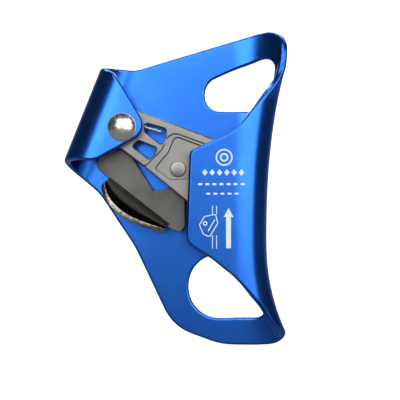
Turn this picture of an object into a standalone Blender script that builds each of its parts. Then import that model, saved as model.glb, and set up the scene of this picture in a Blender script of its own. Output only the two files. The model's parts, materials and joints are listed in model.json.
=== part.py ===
"""Chest ascender for rope: one bent plate frame, a sprung toothed cam and its thumb catch.

Lengths below are in millimetres and become metres when a mesh is made. +Z runs up the rope, +X to the
right as the user faces the markings, and the markings face -Y. The origin lies on the flat rear face of
the back plate. A sheet outline is a list of corners (x, z, fillet radius).
"""

import math

import bmesh
import bpy
from mathutils import Matrix, Vector, geometry

MM = 0.001
GAP = 0.3                     # space kept between touching pieces

# Bent plate frame
PLATE = 3.2                   # sheet thickness
EDGE = 1.0                    # rounding of the sheet's edges
INSIDE = 14.4                 # space between the back plate and the walls folded over it
CURL = (INSIDE + PLATE) / 2   # radius of both folds, at mid sheet
WRAP = math.pi * CURL         # sheet length taken up by a fold
REAR_MID = -PLATE / 2         # y of the back plate's mid sheet
FRAME_BOTTOM = -67.0
FRAME_TOP = 67.0
FOLD_X = 26.3                 # where the right fold starts
REACH = 9.3                   # how far the right fold stands out at its waist
WAIST_Z = -22.0
FLARE_UP = (2.68e-4, 2.4)     # extra reach above the waist: rate, and power of the distance
FLARE_DOWN = (2.795e-3, 2.18)   # and below it
SPREAD = 1.4                  # how far the fold line moves inward towards both ends
SPREAD_TOP = 27.0
SPREAD_BOTTOM = -40.0
SPREAD_RUN = 32.0
HORN = 0.65                   # share of the extra reach by which the whole bend grows above the flap
HORN_START = 36.0
HORN_RUN = 26.0
SOFT = 5.0                    # length over which a fold eases in and out
TABLE_STEPS = 240
SLOPE_STEP = 0.05
LEVEL = 0.1                   # a point that would dip less than this stays on the flat back
EAR_FOOT = Vector((-37.85, 8.74))
EAR_TILT = math.radians(21.8)
EAR_ALONG = Vector((math.sin(EAR_TILT), math.cos(EAR_TILT)))
EAR_ACROSS = Vector((math.cos(EAR_TILT), -math.sin(EAR_TILT)))
FOLD_STEPS = 12
FOLD_ROWS = 10
CURVE_STEPS = 2
ARC_STEP = math.radians(18)
EDGE_STEPS = 1
SNAP = 0.01                   # a sheet point this near a cut is taken to lie on it

# Depths, from the front wall to the back plate
WALL_FRONT = -2 * PLATE - INSIDE
WALL_INNER = -PLATE - INSIDE
BACK_INNER = -PLATE
WEB_FRONT = -16.0
HEAD_FRONT = -15.3
POCKET_FLOOR = -14.5
WEB_BACK = -12.6
HEAD_BACK = -5.8
CATCH_FRONT = -11.5
CATCH_BACK = -9.2
BOSS_FRONT = -16.5
BOSS_BACK = -4.3

# Main pivot
PIVOT = (-22.9, 24.9)
SHANK = 3.0
DOME_RADIUS = 5.9
DOME_HEIGHT = 3.3
BUSH_WALL = 1.0
BUSH_OUT = SHANK + GAP + BUSH_WALL
BORE = BUSH_OUT + GAP
WASHER = 0.5                  # thickness of the thrust washers
FRONT_WASHER_RADIUS = 6.2
REAR_WASHER_RADIUS = 5.6
TAIL_WASHER = 1.0             # thickness of the washer behind the back plate
TAIL_WASHER_RADIUS = 6.4
TAIL_RADIUS = 4.6

# Cam
FACE_RADIUS = 56.3            # from the pivot to the gripping face, 15 degrees below level
FACE_MIDDLE = math.radians(15)
FACE_PITCH = math.radians(15)
FACE_TOP = math.radians(11.5)
FACE_END = math.radians(37)
FACE_STEPS = 10
TOOTH_ROWS = 8
TOOTH_HEIGHT = 1.4
TOOTH_RADIUS = 0.75
TOOTH_LEAN = math.radians(20)
TOOTH_COLUMNS = (-13.9, -12.3, -8.5, -6.9)
MUD_SLOT = (2.0, 5.0, 13.0)   # width, depth, height

# Catch
CATCH_PIVOT = (0.1, 7.9)
CATCH_SHANK = 1.8
CATCH_HEAD = 3.25
CATCH_HEAD_DEPTH = 1.1
CATCH_HEAD_BEVEL = 0.35
CATCH_TAIL = -5.3             # y where the rivet's tail head starts
CATCH_TAIL_RADIUS = 3.4
STOP_PIN_LENGTH = 3.6         # how far the stop pin stands behind the catch
TAB_START = Vector((-29.6, 3.5))
TAB_END = Vector((-4.4, -16.2))
TAB_DEPTH = 11.0
TAB_SHEET = 2.2
TAB_EDGE_OUT = 2.0
TAB_BULGE = 5.0
TAB_STATIONS = 13
TAB_BEND_STEPS = 7
STOP_PIN = (4.6, 2.2)
STOP_RADIUS = 1.1
CATCH_TRAVEL = math.radians(10)

# Springs
CAM_WIRE = 1.2
CAM_COIL = 6.6
CAM_TURNS = 4.9
CAM_SPRING_START = math.radians(12)
CAM_LEG_END = (-7.2, 23.5)    # where its front leg ends, on the cam's web
CAM_REAR_LEG = 6.0            # length of its rear leg
CATCH_WIRE = 0.8
CATCH_COIL = 2.9
CATCH_TURNS = 3.25
CATCH_SPRING_START = math.radians(120)
CATCH_LEG = Vector((-4.5, 0.0, -3.4))   # from the coil to the end of its front leg
CATCH_REAR_LEG = 5.0          # length of its rear leg
COIL_STEPS = 12

ROUND = 24


def clear_scene():
    for obj in list(bpy.data.objects):
        bpy.data.objects.remove(obj, do_unlink=True)


def material(name, color, roughness, metallic):
    finish = bpy.data.materials.new(name)
    finish.use_nodes = True
    shader = finish.node_tree.nodes["Principled BSDF"]
    shader.inputs["Base Color"].default_value = (*color, 1.0)
    shader.inputs["Roughness"].default_value = roughness
    shader.inputs["Metallic"].default_value = metallic
    return finish


def finish_object(name, mesh, finish, axis=(0.0, 0.0)):
    """Link the mesh as a named node whose origin lies on the y axis line through (x, z)."""
    origin = Vector((axis[0], 0.0, axis[1])) * MM
    mesh.transform(Matrix.Translation(-origin))
    mesh.materials.clear()
    mesh.materials.append(finish)
    mesh.shade_smooth()
    mesh.set_sharp_from_angle(angle=math.radians(35))
    obj = bpy.data.objects.new(name, mesh)
    obj.location = origin
    bpy.context.collection.objects.link(obj)
    return obj


def close_up(bm):
    """Split the faces into triangles that all point outward."""
    bmesh.ops.triangulate(bm, faces=bm.faces)
    bmesh.ops.recalc_face_normals(bm, faces=bm.faces)


def mesh_of(bm):
    mesh = bpy.data.meshes.new("piece")
    bm.to_mesh(mesh)
    bm.free()
    return mesh


def mesh_from(bm):
    close_up(bm)
    return mesh_of(bm)


def filleted(corners):
    """Points of a closed outline whose corners (x, z, radius) are rounded by arcs."""
    points = []
    count = len(corners)
    for i, (x, z, radius) in enumerate(corners):
        corner = Vector((x, z))
        before = (Vector(corners[i - 1][:2]) - corner).normalized()
        after = (Vector(corners[(i + 1) % count][:2]) - corner).normalized()
        half = before.angle(after) / 2
        if radius == 0 or half > math.radians(89):
            points.append(corner)
            continue
        centre = corner + (before + after).normalized() * (radius / math.sin(half))
        first = corner + before * (radius / math.tan(half)) - centre
        last = corner + after * (radius / math.tan(half)) - centre
        turn = math.pi - 2 * half
        sign = 1 if first.x * last.y - first.y * last.x > 0 else -1
        steps = max(1, math.ceil(turn / ARC_STEP))
        for k in range(steps + 1):
            angle = sign * turn * k / steps
            cos, sin = math.cos(angle), math.sin(angle)
            points.append(centre + Vector((first.x * cos - first.y * sin, first.x * sin + first.y * cos)))
    return points


def circle(x, z, radius, steps=ROUND):
    return [Vector((x + radius * math.cos(2 * math.pi * k / steps),
                    z + radius * math.sin(2 * math.pi * k / steps))) for k in range(steps)]


def signed_area(loop):
    return sum(a.x * b.y - b.x * a.y for a, b in zip(loop, loop[1:] + loop[:1])) / 2


def inset_loop(loop, distance):
    """The loop moved to its left."""
    moved = []
    for i, point in enumerate(loop):
        ahead = (loop[(i + 1) % len(loop)] - point).normalized()
        behind = (point - loop[i - 1]).normalized()
        left = Vector((-ahead.y - behind.y, ahead.x + behind.x)).normalized()
        moved.append(point + left * (distance / max(0.5, left.dot(Vector((-ahead.y, ahead.x))))))
    return moved


def flat_sheet(loops, thickness, edge):
    """A bmesh of the flat sheet inside the first loop and outside the others, its edges rounded.

    Its x and y are the outline's x and z, and its z is the height above mid sheet, in millimetres.
    """
    sides = [loop if (signed_area(loop) > 0) == (i == 0) else loop[::-1] for i, loop in enumerate(loops)]
    quarter = [(edge * (1 - math.sin(swing)), thickness / 2 - edge + edge * math.cos(swing))
               for swing in (math.pi / 2 * k / EDGE_STEPS for k in range(EDGE_STEPS + 1))]
    profile = quarter + [(inward, -height) for inward, height in reversed(quarter)]
    bm = bmesh.new()
    top, bottom = [], []
    for loop in sides:
        rings = [[bm.verts.new((point.x, point.y, height)) for point in inset_loop(loop, inward)]
                 for inward, height in profile]
        for upper, lower in zip(rings, rings[1:]):
            for k in range(len(loop)):
                nxt = (k + 1) % len(loop)
                bm.faces.new([upper[k], lower[k], lower[nxt], upper[nxt]])
        top += rings[0]
        bottom += rings[-1]
    flat = [[(p.x, p.y, 0.0) for p in inset_loop(loop, edge)] for loop in sides]
    for a, b, c in geometry.tessellate_polygon(flat):
        if (top[b].co - top[a].co).cross(top[c].co - top[a].co).z < 0:
            b, c = c, b
        bm.faces.new([top[a], top[b], top[c]])
        bm.faces.new([bottom[a], bottom[c], bottom[b]])
    return bm


def slab(loops, front, back, edge):
    """A closed plate between two depths."""
    bm = flat_sheet(loops, back - front, edge)
    middle = (front + back) / 2
    for vert in bm.verts:
        vert.co = Vector((vert.co.x, middle + vert.co.z, vert.co.y)) * MM
    return mesh_from(bm)


def turned(profile, x, z, steps=ROUND):
    """A closed solid turned round the y axis line through (x, z), from its half section (radius, y)."""
    bm = bmesh.new()
    rings = []
    for radius, y in profile:
        if radius == 0:
            rings.append([bm.verts.new(Vector((x, y, z)) * MM)] * steps)
            continue
        ring = circle(x, z, radius, steps)
        rings.append([bm.verts.new(Vector((p.x, y, p.y)) * MM) for p in ring])
    for one, two in zip(rings, rings[1:] + rings[:1]):
        for k in range(steps):
            quad = [one[k], one[(k + 1) % steps], two[(k + 1) % steps], two[k]]
            corners = list(dict.fromkeys(quad))
            if len(corners) > 2:
                bm.faces.new(corners)
    return mesh_from(bm)


def ring(outer, inner, front, back, x, z):
    return turned([(inner, front), (outer, front), (outer, back), (inner, back)], x, z)


def rod(radius, front, back, x, z):
    return turned([(0, front), (radius, front), (radius, back), (0, back)], x, z)


def combined(base, others, operation):
    """The base mesh with each of the other meshes joined to it or cut from it."""
    carrier = bpy.data.objects.new("base", base)
    bpy.context.collection.objects.link(carrier)
    for other in others:
        tool = bpy.data.objects.new("tool", other)
        bpy.context.collection.objects.link(tool)
        step = carrier.modifiers.new("step", "BOOLEAN")
        step.operation = operation
        step.solver = "EXACT"
        step.object = tool
        graph = bpy.context.evaluated_depsgraph_get()
        result = bpy.data.meshes.new_from_object(carrier.evaluated_get(graph))
        carrier.modifiers.clear()
        carrier.data = result
        bpy.data.objects.remove(tool)
    bpy.data.objects.remove(carrier)
    return result


def eased(share):
    """A share from 0 to 1, made to start and end level."""
    share = min(max(share, 0.0), 1.0)
    return share * share * (3 - 2 * share)


def bend_table():
    """Sums along a fold: turn, plain run across, stretched run across, and depth, at even steps of sheet."""
    rows = [(0.0, 0.0, 0.0, 0.0)]
    step = (WRAP + 2 * SOFT) / TABLE_STEPS
    for k in range(TABLE_STEPS):
        run = -SOFT + (k + 0.5) * step
        share = eased((run + SOFT) / (2 * SOFT)) * eased((WRAP + SOFT - run) / (2 * SOFT))
        turn, plain, stretched, depth = rows[-1]
        middle = turn + share / CURL * step / 2
        rows.append((turn + share / CURL * step, plain + math.cos(middle) * step,
                     stretched + share * math.cos(middle) * step, depth + math.sin(middle) * step))
    scale = 2 * CURL / rows[-1][3]
    return [(plain, stretched, depth * scale) for _, plain, stretched, depth in rows]


def bend(run, reach):
    """How far a sheet point lies past the fold line, and how deep, when the bend reaches a given width."""
    if run <= -SOFT:
        return run, 0.0
    if run >= WRAP + SOFT:
        return WRAP - run, 2 * CURL
    place = (run + SOFT) / (WRAP + 2 * SOFT) * TABLE_STEPS
    low = min(int(place), TABLE_STEPS - 1)
    part = place - low
    plain, stretched, depth = (one + (two - one) * part for one, two in zip(BEND[low], BEND[low + 1]))
    widest = BEND[TABLE_STEPS // 2]
    return -SOFT + plain + (reach + SOFT - widest[0]) / widest[1] * stretched, depth


BEND = bend_table()


def fold_line(z):
    """Where the right-hand fold starts: nearer the middle towards both ends of the plate."""
    beyond = max(z - SPREAD_TOP, SPREAD_BOTTOM - z, 0.0)
    return FOLD_X - SPREAD * (beyond / SPREAD_RUN) ** 1.5


def fold_reach(z):
    rate, power = FLARE_UP if z > WAIST_Z else FLARE_DOWN
    return REACH + rate * abs(z - WAIST_Z) ** power + FOLD_X - fold_line(z)


def fold_growth(z):
    """How many times wider the bend is than at the waist: it opens like a horn above the flap."""
    return 1 + HORN * (fold_reach(z) / REACH - 1) * eased((z - HORN_START) / HORN_RUN)


def ear_point(along, across):
    """A place on the flat sheet, from distances along and across the ear's fold line."""
    return EAR_FOOT + EAR_ALONG * along + EAR_ACROSS * across


def ear_corner(along, across, radius):
    place = ear_point(along, across)
    return (place.x, place.y, radius)


def on_ear(x, z):
    """Where a point of the folded ear lies on the flat sheet."""
    offset = Vector((x, z)) - EAR_FOOT
    return ear_point(offset.dot(EAR_ALONG), -WRAP - offset.dot(EAR_ACROSS))


def mid_surface(x, z):
    """Where a point of the flat sheet lies once both folds are made."""
    offset = Vector((x, z)) - EAR_FOOT
    across = offset.dot(EAR_ACROSS)
    if across < SOFT:
        past, depth = bend(-across, CURL)
        place = ear_point(offset.dot(EAR_ALONG), -past)
        return Vector((place.x, REAR_MID - depth, place.y))
    line, growth = fold_line(z), fold_growth(z)
    past, depth = bend((x - line) / growth, fold_reach(z) / growth)
    return Vector((line + past * growth, REAR_MID - depth * growth, z))


def folded(x, z, height):
    """The place of a sheet point at a height above mid sheet, on the side that becomes the outside."""
    middle = mid_surface(x, z)
    if REAR_MID - middle.y < LEVEL:
        return Vector((x, REAR_MID + height, z))
    along_x = mid_surface(x + SLOPE_STEP, z) - mid_surface(x - SLOPE_STEP, z)
    along_z = mid_surface(x, z + SLOPE_STEP) - mid_surface(x, z - SLOPE_STEP)
    return middle + along_z.cross(along_x).normalized() * height


def smooth_run(points, steps=CURVE_STEPS):
    """Points of a smooth curve that passes through every given one."""
    run = []
    padded = [points[0]] + points + [points[-1]]
    for before, start, end, after in zip(padded, padded[1:], padded[2:], padded[3:]):
        for k in range(steps):
            t = k / steps
            weights = ((-t + 2 * t * t - t ** 3) / 2, (2 - 5 * t * t + 3 * t ** 3) / 2,
                       (t + 4 * t * t - 3 * t ** 3) / 2, (t ** 3 - t * t) / 2)
            run.append(tuple(sum(w * p[axis] for w, p in zip(weights, (before, start, end, after)))
                             for axis in (0, 1)))
    return [(x, z, 0) for x, z in run + [points[-1]]]


def past_fold(pairs):
    """Blank points given as a run beyond the fold line and a height."""
    return [(fold_line(z) + run, z) for run, z in pairs]


def frame_loops():
    """The flat blank: its outline, the two eyes and the two rivet holes."""
    right = FOLD_X
    upper_free_edge = smooth_run(past_fold([
        (45.0, 17.0), (40.7, 18.9), (34.6, 21.8), (30.7, 24.3), (28.0, 27.0), (26.0, 30.3), (23.4, 35.2),
        (21.2, 40.4), (19.9, 46.4), (20.6, 53.6), (21.6, 58.4), (20.6, 61.9), (17.4, 64.9), (13.0, 66.4),
        (8.0, 65.8), (3.5, 64.4), (0.0, 63.2)]))
    lower_free_edge = smooth_run(past_fold([
        (0.0, -66.9), (3.5, -66.8), (6.8, -66.1), (9.6, -64.5), (12.8, -62.2), (16.4, -59.9), (19.0, -57.2),
        (20.4, -53.7), (21.8, -49.6), (24.6, -45.0), (27.6, -40.4), (31.2, -36.4), (35.0, -33.3),
        (40.1, -29.2), (45.6, -25.7)]))
    outline = ([ear_corner(45.8, 2.75, 12), ear_corner(40.9, -13.8, 0),
                ear_corner(40.4, -24.0, 5), ear_corner(23.2, -46.3, 6.5), ear_corner(3.6, -30.2, 9),
                (-33.9, -2.0, 25), (-18.5, -25.2, 40), (-2.4, -59.2, 21), (18.3, -66.8, 30)]
               + lower_free_edge + [(right + 50.5, -22.4, 5), (right + 49.0, 15.4, 3.5)] + upper_free_edge)
    upper_eye = [(11.3, 32.8, 6.6), (11.3, 44.9, 7.6), (29.8, 53.2, 0), (40.4, 58.2, 4.5), (35.0, 32.8, 7)]
    lower_eye = [(4.6, -28.2, 13.0), (4.2, -55.0, 13.0), (19.0, -55.4, 20), (right + 7.0, -54.9, 4),
                 (right + 8.0, -28.6, 8)]
    ear_hole = on_ear(*PIVOT)
    hole = SHANK + GAP
    return [filleted(outline), filleted(upper_eye), filleted(lower_eye),
            circle(*PIVOT, hole), circle(ear_hole.x, ear_hole.y, hole)]


def cut(bm, point, normal, faces=None):
    """Split the sheet's faces along a plane, given by a sheet point and direction."""
    chosen = set(faces if faces is not None else bm.faces)
    pieces = list(chosen)
    pieces += {edge for face in chosen for edge in face.edges}
    pieces += {vert for face in chosen for vert in face.verts}
    bmesh.ops.bisect_plane(bm, geom=pieces, dist=SNAP, plane_co=(point[0], point[1], 0.0),
                           plane_no=(normal[0], normal[1], 0.0))


def make_frame(finish):
    bm = flat_sheet(frame_loops(), PLATE, EDGE)
    for k in range(FOLD_STEPS + 1):
        run = -SOFT + (WRAP + 2 * SOFT) * k / FOLD_STEPS
        cut(bm, (FOLD_X + run, 0.0), (1.0, 0.0))
        cut(bm, ear_point(0.0, -run), EAR_ACROSS)
    for k in range(1, FOLD_ROWS):
        level = FRAME_BOTTOM + (FRAME_TOP - FRAME_BOTTOM) * k / FOLD_ROWS
        curl_faces = [face for face in bm.faces
                      if FOLD_X - SOFT < face.calc_center_median().x < FOLD_X + WRAP + SOFT]
        cut(bm, (0.0, level), (0.0, 1.0), curl_faces)
    bmesh.ops.triangulate(bm, faces=bm.faces)
    for vert in bm.verts:
        vert.co = folded(vert.co.x, vert.co.y, vert.co.z) * MM
    bmesh.ops.reverse_faces(bm, faces=bm.faces)
    return finish_object("frame", mesh_of(bm), finish)


def make_main_rivet(finish):
    """One solid: a domed head, the shank through both walls, and the formed tail."""
    seat = WALL_FRONT - GAP
    rise = 6
    sphere = (DOME_RADIUS ** 2 + DOME_HEIGHT ** 2) / (2 * DOME_HEIGHT)
    spread = math.asin(DOME_RADIUS / sphere)
    crown = seat - 0.5 - DOME_HEIGHT + sphere
    dome = [(sphere * math.sin(spread * k / rise), crown - sphere * math.cos(spread * k / rise))
            for k in range(rise + 1)]
    tail = GAP + TAIL_WASHER + GAP
    profile = dome + [(DOME_RADIUS, seat), (SHANK, seat), (SHANK, tail), (TAIL_RADIUS, tail),
                      (TAIL_RADIUS, tail + 0.8), (TAIL_RADIUS - 1.0, tail + 1.7), (0, tail + 1.9)]
    return finish_object("main_rivet", turned(profile, *PIVOT), finish, PIVOT)


def make_pivot_stack(steel, bronze):
    """The bush and washers on the main rivet, front to back."""
    x, z = PIVOT
    bush = ring(BUSH_OUT, SHANK + GAP, WALL_INNER + GAP, BACK_INNER - GAP, x, z)
    finish_object("cam_bush", bush, bronze, PIVOT)
    front = ring(FRONT_WASHER_RADIUS, BORE, WALL_INNER + GAP, WALL_INNER + GAP + WASHER, x, z)
    finish_object("front_thrust_washer", front, steel, PIVOT)
    rear = ring(REAR_WASHER_RADIUS, BORE, BACK_INNER - GAP - WASHER, BACK_INNER - GAP, x, z)
    finish_object("rear_thrust_washer", rear, steel, PIVOT)
    tail = ring(TAIL_WASHER_RADIUS, SHANK + GAP, GAP, GAP + TAIL_WASHER, x, z)
    finish_object("rivet_washer", tail, steel, PIVOT)


def face_point(angle, extra=0.0):
    """A point on the cam's gripping face, at an angle below level from the pivot."""
    radius = FACE_RADIUS * math.exp((angle - FACE_MIDDLE) * math.tan(FACE_PITCH)) + extra
    return Vector((PIVOT[0] + radius * math.cos(angle), PIVOT[1] - radius * math.sin(angle)))


def gripping_face():
    """Corners down the gripping face, on a spiral so that the rope wedges the cam tighter."""
    angles = [FACE_TOP + (FACE_END - FACE_TOP) * k / FACE_STEPS for k in range(FACE_STEPS + 1)]
    return [(point.x, point.y, 0) for point in map(face_point, angles)]


def cam_outline():
    return filleted([(-31.2, 37.6, 8.0), (28.0, 15.6, 3.0)] + gripping_face()
                    + [(20.0, -15.5, 5), (8.5, -9.4, 8), (-14.6, 9.2, 0), (-31.2, 21.6, 7.0)])


def web_outline():
    """The raised hub and spokes, and the strip along the top edge."""
    return filleted([(-31.0, 37.2, 7.8), (26.0, 16.0, 1.5), (24.0, 13.4, 1.0), (-3.0, 23.3, 4.0),
                     (-6.6, 15.6, 8), (-13.6, 8.6, 1.5), (-31.0, 21.9, 6.8)])


def cam_holes():
    upper = [(-14.0, 27.1, 1.4), (-4.9, 24.5, 1.4), (-5.2, 18.6, 1.4), (-7.4, 18.2, 1.2), (-14.0, 23.4, 1.4)]
    lower = [(-19.2, 17.2, 1.2), (-16.4, 19.7, 1.4), (-8.2, 16.4, 1.4), (-11.6, 11.4, 1.4)]
    return [filleted(upper), filleted(lower)]


def pocket_outline():
    return filleted([(-1.1, 21.3, 2.0), (12.5, 16.2, 1.5), (12.5, 8.0, 1.5), (3.4, 3.9, 1.5),
                     (-3.2, 3.6, 1.0), (-9.4, 8.2, 1.0), (-4.0, 14.4, 6)])


def thick_head_outline():
    """The part of the head that is as wide as the rope: right of the catch plate."""
    return filleted([(10.6, 21.5, 1.5), (27.8, 15.3, 2.8)] + gripping_face()
                    + [(20.0, -15.3, 5), (10.6, -11.0, 2)])


def tooth(angle, depth):
    """A pointed tooth that leans down the face."""
    foot = face_point(angle, -0.4)
    away = Vector((math.cos(angle), -math.sin(angle)))
    down = Vector((-math.sin(angle), -math.cos(angle)))
    lean = away * math.cos(TOOTH_LEAN) + down * math.sin(TOOTH_LEAN)
    tip = foot + lean * (TOOTH_HEIGHT + 0.4)
    bm = bmesh.new()
    apex = bm.verts.new(Vector((tip.x, depth, tip.y)) * MM)
    base = []
    for k in range(6):
        swing = 2 * math.pi * k / 6
        spot = foot + down * (TOOTH_RADIUS * math.cos(swing))
        base.append(bm.verts.new(Vector((spot.x, depth + TOOTH_RADIUS * math.sin(swing), spot.y)) * MM))
    bm.faces.new(base)
    for k in range(6):
        bm.faces.new([base[k], base[(k + 1) % 6], apex])
    return mesh_from(bm)


def teeth():
    """Staggered rows, joined into one mesh of separate cones for a single union."""
    whole = bmesh.new()
    for row in range(TOOTH_ROWS):
        for place, depth in enumerate(TOOTH_COLUMNS):
            step = (row + 0.5 * (place % 2)) / TOOTH_ROWS
            cone = tooth(math.radians(14) + math.radians(19) * step, depth)
            whole.from_mesh(cone)
            bpy.data.meshes.remove(cone)
    return mesh_from(whole)


def mud_slot():
    """A box that clears the middle of the gripping face."""
    width, depth, height = MUD_SLOT
    angle = math.radians(23)
    middle = face_point(angle)
    bm = bmesh.new()
    bmesh.ops.create_cube(bm, size=1.0)
    bm.transform(Matrix.Diagonal((2 * depth * MM, width * MM, height * MM, 1.0)))
    bm.transform(Matrix.Rotation(angle, 4, "Y"))
    bm.transform(Matrix.Translation(Vector((middle.x, (HEAD_FRONT + HEAD_BACK) / 2, middle.y)) * MM))
    return mesh_from(bm)


def make_cam(finish):
    holes = cam_holes()
    body = slab([cam_outline()] + holes, HEAD_FRONT, WEB_BACK, 0.3)
    web = slab([web_outline()] + holes, WEB_FRONT, HEAD_FRONT + 1.0, 0.3)
    head = slab([thick_head_outline()], HEAD_FRONT - 0.05, HEAD_BACK, 0.6)
    bosses = [rod(6.4, BOSS_FRONT, WEB_BACK - 0.5, *PIVOT), rod(5.6, WEB_BACK - 1.0, BOSS_BACK, *PIVOT)]
    cam = combined(body, [web, head, *bosses, teeth()], "UNION")
    pocket = slab([pocket_outline()], HEAD_FRONT - 3.0, POCKET_FLOOR, 0.2)
    bores = [rod(BORE, BOSS_FRONT - 2, BOSS_BACK + 2, *PIVOT),
             rod(CATCH_SHANK + GAP, HEAD_FRONT - 2, WEB_BACK + 2, *CATCH_PIVOT),
             rod(STOP_RADIUS + GAP, POCKET_FLOOR + 0.8, WEB_BACK + 2, *STOP_PIN)]
    cam = combined(cam, [pocket, *bores, mud_slot()], "DIFFERENCE")
    return finish_object("cam", cam, finish, PIVOT)


def catch_outline():
    return filleted([(-21.2, 16.2, 2.0), (-32.3, 16.0, 3.4), (-34.5, 8.6, 3.2), (-4.2, -16.4, 3.0),
                     (0.8, -18.9, 1.6), (3.0, -15.8, 1.4), (2.9, -5.2, 2.0), (8.4, -2.0, 3.0),
                     (8.2, 13.0, 5.0), (0.1, 15.2, 5.0), (-6.9, 12.0, 5.0), (-2.2, 0.2, 0.6),
                     (-10.4, -1.4, 0.8)])


def stop_slot():
    """A short slot that lets the catch turn by its travel round the stop pin."""
    centre = Vector(CATCH_PIVOT)
    arm = Vector(STOP_PIN) - centre
    cos, sin = math.cos(-CATCH_TRAVEL), math.sin(-CATCH_TRAVEL)
    far = centre + Vector((arm.x * cos - arm.y * sin, arm.x * sin + arm.y * cos))
    near = Vector(STOP_PIN)
    side = (near - far).normalized()
    points = []
    for end, start in ((near, side), (far, -side)):
        for k in range(9):
            swing = math.pi * (k / 8 - 0.5)
            points.append(end + Vector((start.x * math.cos(swing) - start.y * math.sin(swing),
                                        start.x * math.sin(swing) + start.y * math.cos(swing)))
                          * (STOP_RADIUS + GAP))
    return points


def tab_section(share):
    """Both sides of the tab's sheet (outward distance, y), at a share of the way along the fold."""
    bend = TAB_EDGE_OUT + TAB_BULGE * math.sin(math.pi * share ** 0.75)
    depth = TAB_DEPTH * (1 - 0.3 * abs(2 * share - 1) ** 3)
    middle = (CATCH_FRONT + CATCH_BACK) / 2
    half = TAB_SHEET / 2
    inner, outer = [(-1.5, middle - half)], [(-1.5, middle + half)]
    for k in range(TAB_BEND_STEPS + 1):
        swing = math.pi / 2 * k / TAB_BEND_STEPS
        inner.append(((bend - half) * math.sin(swing), middle - bend + (bend - half) * math.cos(swing)))
        outer.append(((bend + half) * math.sin(swing), middle - bend + (bend + half) * math.cos(swing)))
    inner.append((bend - half, middle - depth))
    outer.append((bend + half, middle - depth))
    return inner + outer[::-1]


def thumb_tab():
    """The tab folded forward along the catch plate's lower edge, bowed outward in the middle."""
    run = TAB_END - TAB_START
    outward = Vector((run.y, -run.x)).normalized()
    bm = bmesh.new()
    rings = []
    for k in range(TAB_STATIONS):
        share = k / (TAB_STATIONS - 1)
        foot = TAB_START + run * share
        rings.append([bm.verts.new(Vector((foot.x + outward.x * out, y, foot.y + outward.y * out)) * MM)
                      for out, y in tab_section(share)])
    for one, two in zip(rings, rings[1:]):
        for k in range(len(one)):
            nxt = (k + 1) % len(one)
            bm.faces.new([one[k], one[nxt], two[nxt], two[k]])
    half = len(rings[0]) // 2
    for end in (rings[0], rings[-1]):
        for k in range(half - 1):
            bm.faces.new([end[k], end[k + 1], end[-2 - k], end[-1 - k]])
    return mesh_from(bm)


def make_catch(finish):
    bore = circle(*CATCH_PIVOT, CATCH_SHANK + GAP, 24)
    plate = slab([catch_outline(), bore, stop_slot()], CATCH_FRONT, CATCH_BACK, 0.3)
    catch = combined(plate, [thumb_tab()], "UNION")
    return finish_object("catch", catch, finish, CATCH_PIVOT)


def make_catch_rivet(finish):
    """A flat head in the cam's pocket, the shank, and a tail head behind the spring."""
    seat = POCKET_FLOOR - GAP
    top = seat - CATCH_HEAD_DEPTH
    head = [(0, top), (CATCH_HEAD - CATCH_HEAD_BEVEL, top), (CATCH_HEAD, top + CATCH_HEAD_BEVEL),
            (CATCH_HEAD, seat), (CATCH_SHANK, seat)]
    tail = [(CATCH_SHANK, CATCH_TAIL), (CATCH_TAIL_RADIUS, CATCH_TAIL), (CATCH_TAIL_RADIUS, CATCH_TAIL + 0.7),
            (0, CATCH_TAIL + 1.1)]
    return finish_object("catch_rivet", turned(head + tail, *CATCH_PIVOT, 28), finish, CATCH_PIVOT)


def make_catch_washer(finish):
    washer = ring(CATCH_TAIL_RADIUS, CATCH_SHANK + GAP, WEB_BACK + GAP, CATCH_FRONT - GAP, *CATCH_PIVOT)
    return finish_object("catch_washer", washer, finish, CATCH_PIVOT)


def make_stop_pin(finish):
    pin = rod(STOP_RADIUS, POCKET_FLOOR + 0.8 + GAP, CATCH_BACK + STOP_PIN_LENGTH, *STOP_PIN)
    return finish_object("stop_pin", pin, finish, CATCH_PIVOT)


def wire(path, radius, sides=8):
    """A closed round wire along a list of points."""
    curve = bpy.data.curves.new("wire", "CURVE")
    curve.dimensions = "3D"
    curve.bevel_depth = radius * MM
    curve.bevel_resolution = sides // 4
    curve.use_fill_caps = True
    spline = curve.splines.new("POLY")
    spline.points.add(len(path) - 1)
    for point, place in zip(spline.points, path):
        point.co = (*(place * MM), 1.0)
    carrier = bpy.data.objects.new("wire", curve)
    bpy.context.collection.objects.link(carrier)
    mesh = bpy.data.meshes.new_from_object(carrier.evaluated_get(bpy.context.evaluated_depsgraph_get()))
    bpy.data.objects.remove(carrier)
    bm = bmesh.new()
    bm.from_mesh(mesh)
    bmesh.ops.remove_doubles(bm, verts=bm.verts, dist=0.00001)
    return mesh_from(bm)


def coil(centre, radius, turns, start_angle, front, back):
    """Points of a coil round the y axis line through centre, from front to back."""
    count = math.ceil(turns * COIL_STEPS)
    points = []
    for k in range(count + 1):
        angle = start_angle + 2 * math.pi * turns * k / count
        points.append(Vector((centre[0] + radius * math.cos(angle), front + (back - front) * k / count,
                              centre[1] + radius * math.sin(angle))))
    return points


def make_cam_spring(finish):
    """Its front leg rests on the cam's web and its rear leg lies against the back plate."""
    front, back = WEB_BACK + GAP + CAM_WIRE / 2, BACK_INNER - GAP - CAM_WIRE / 2
    turns = coil(PIVOT, CAM_COIL, CAM_TURNS, CAM_SPRING_START, front, back)
    front_leg = Vector((CAM_LEG_END[0], front, CAM_LEG_END[1]))
    end = CAM_SPRING_START + 2 * math.pi * CAM_TURNS
    away = Vector((-math.sin(end), 0.0, math.cos(end)))
    rear_leg = turns[-1] + away * CAM_REAR_LEG
    return finish_object("cam_spring", wire([front_leg] + turns + [rear_leg], CAM_WIRE / 2), finish, PIVOT)


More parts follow.
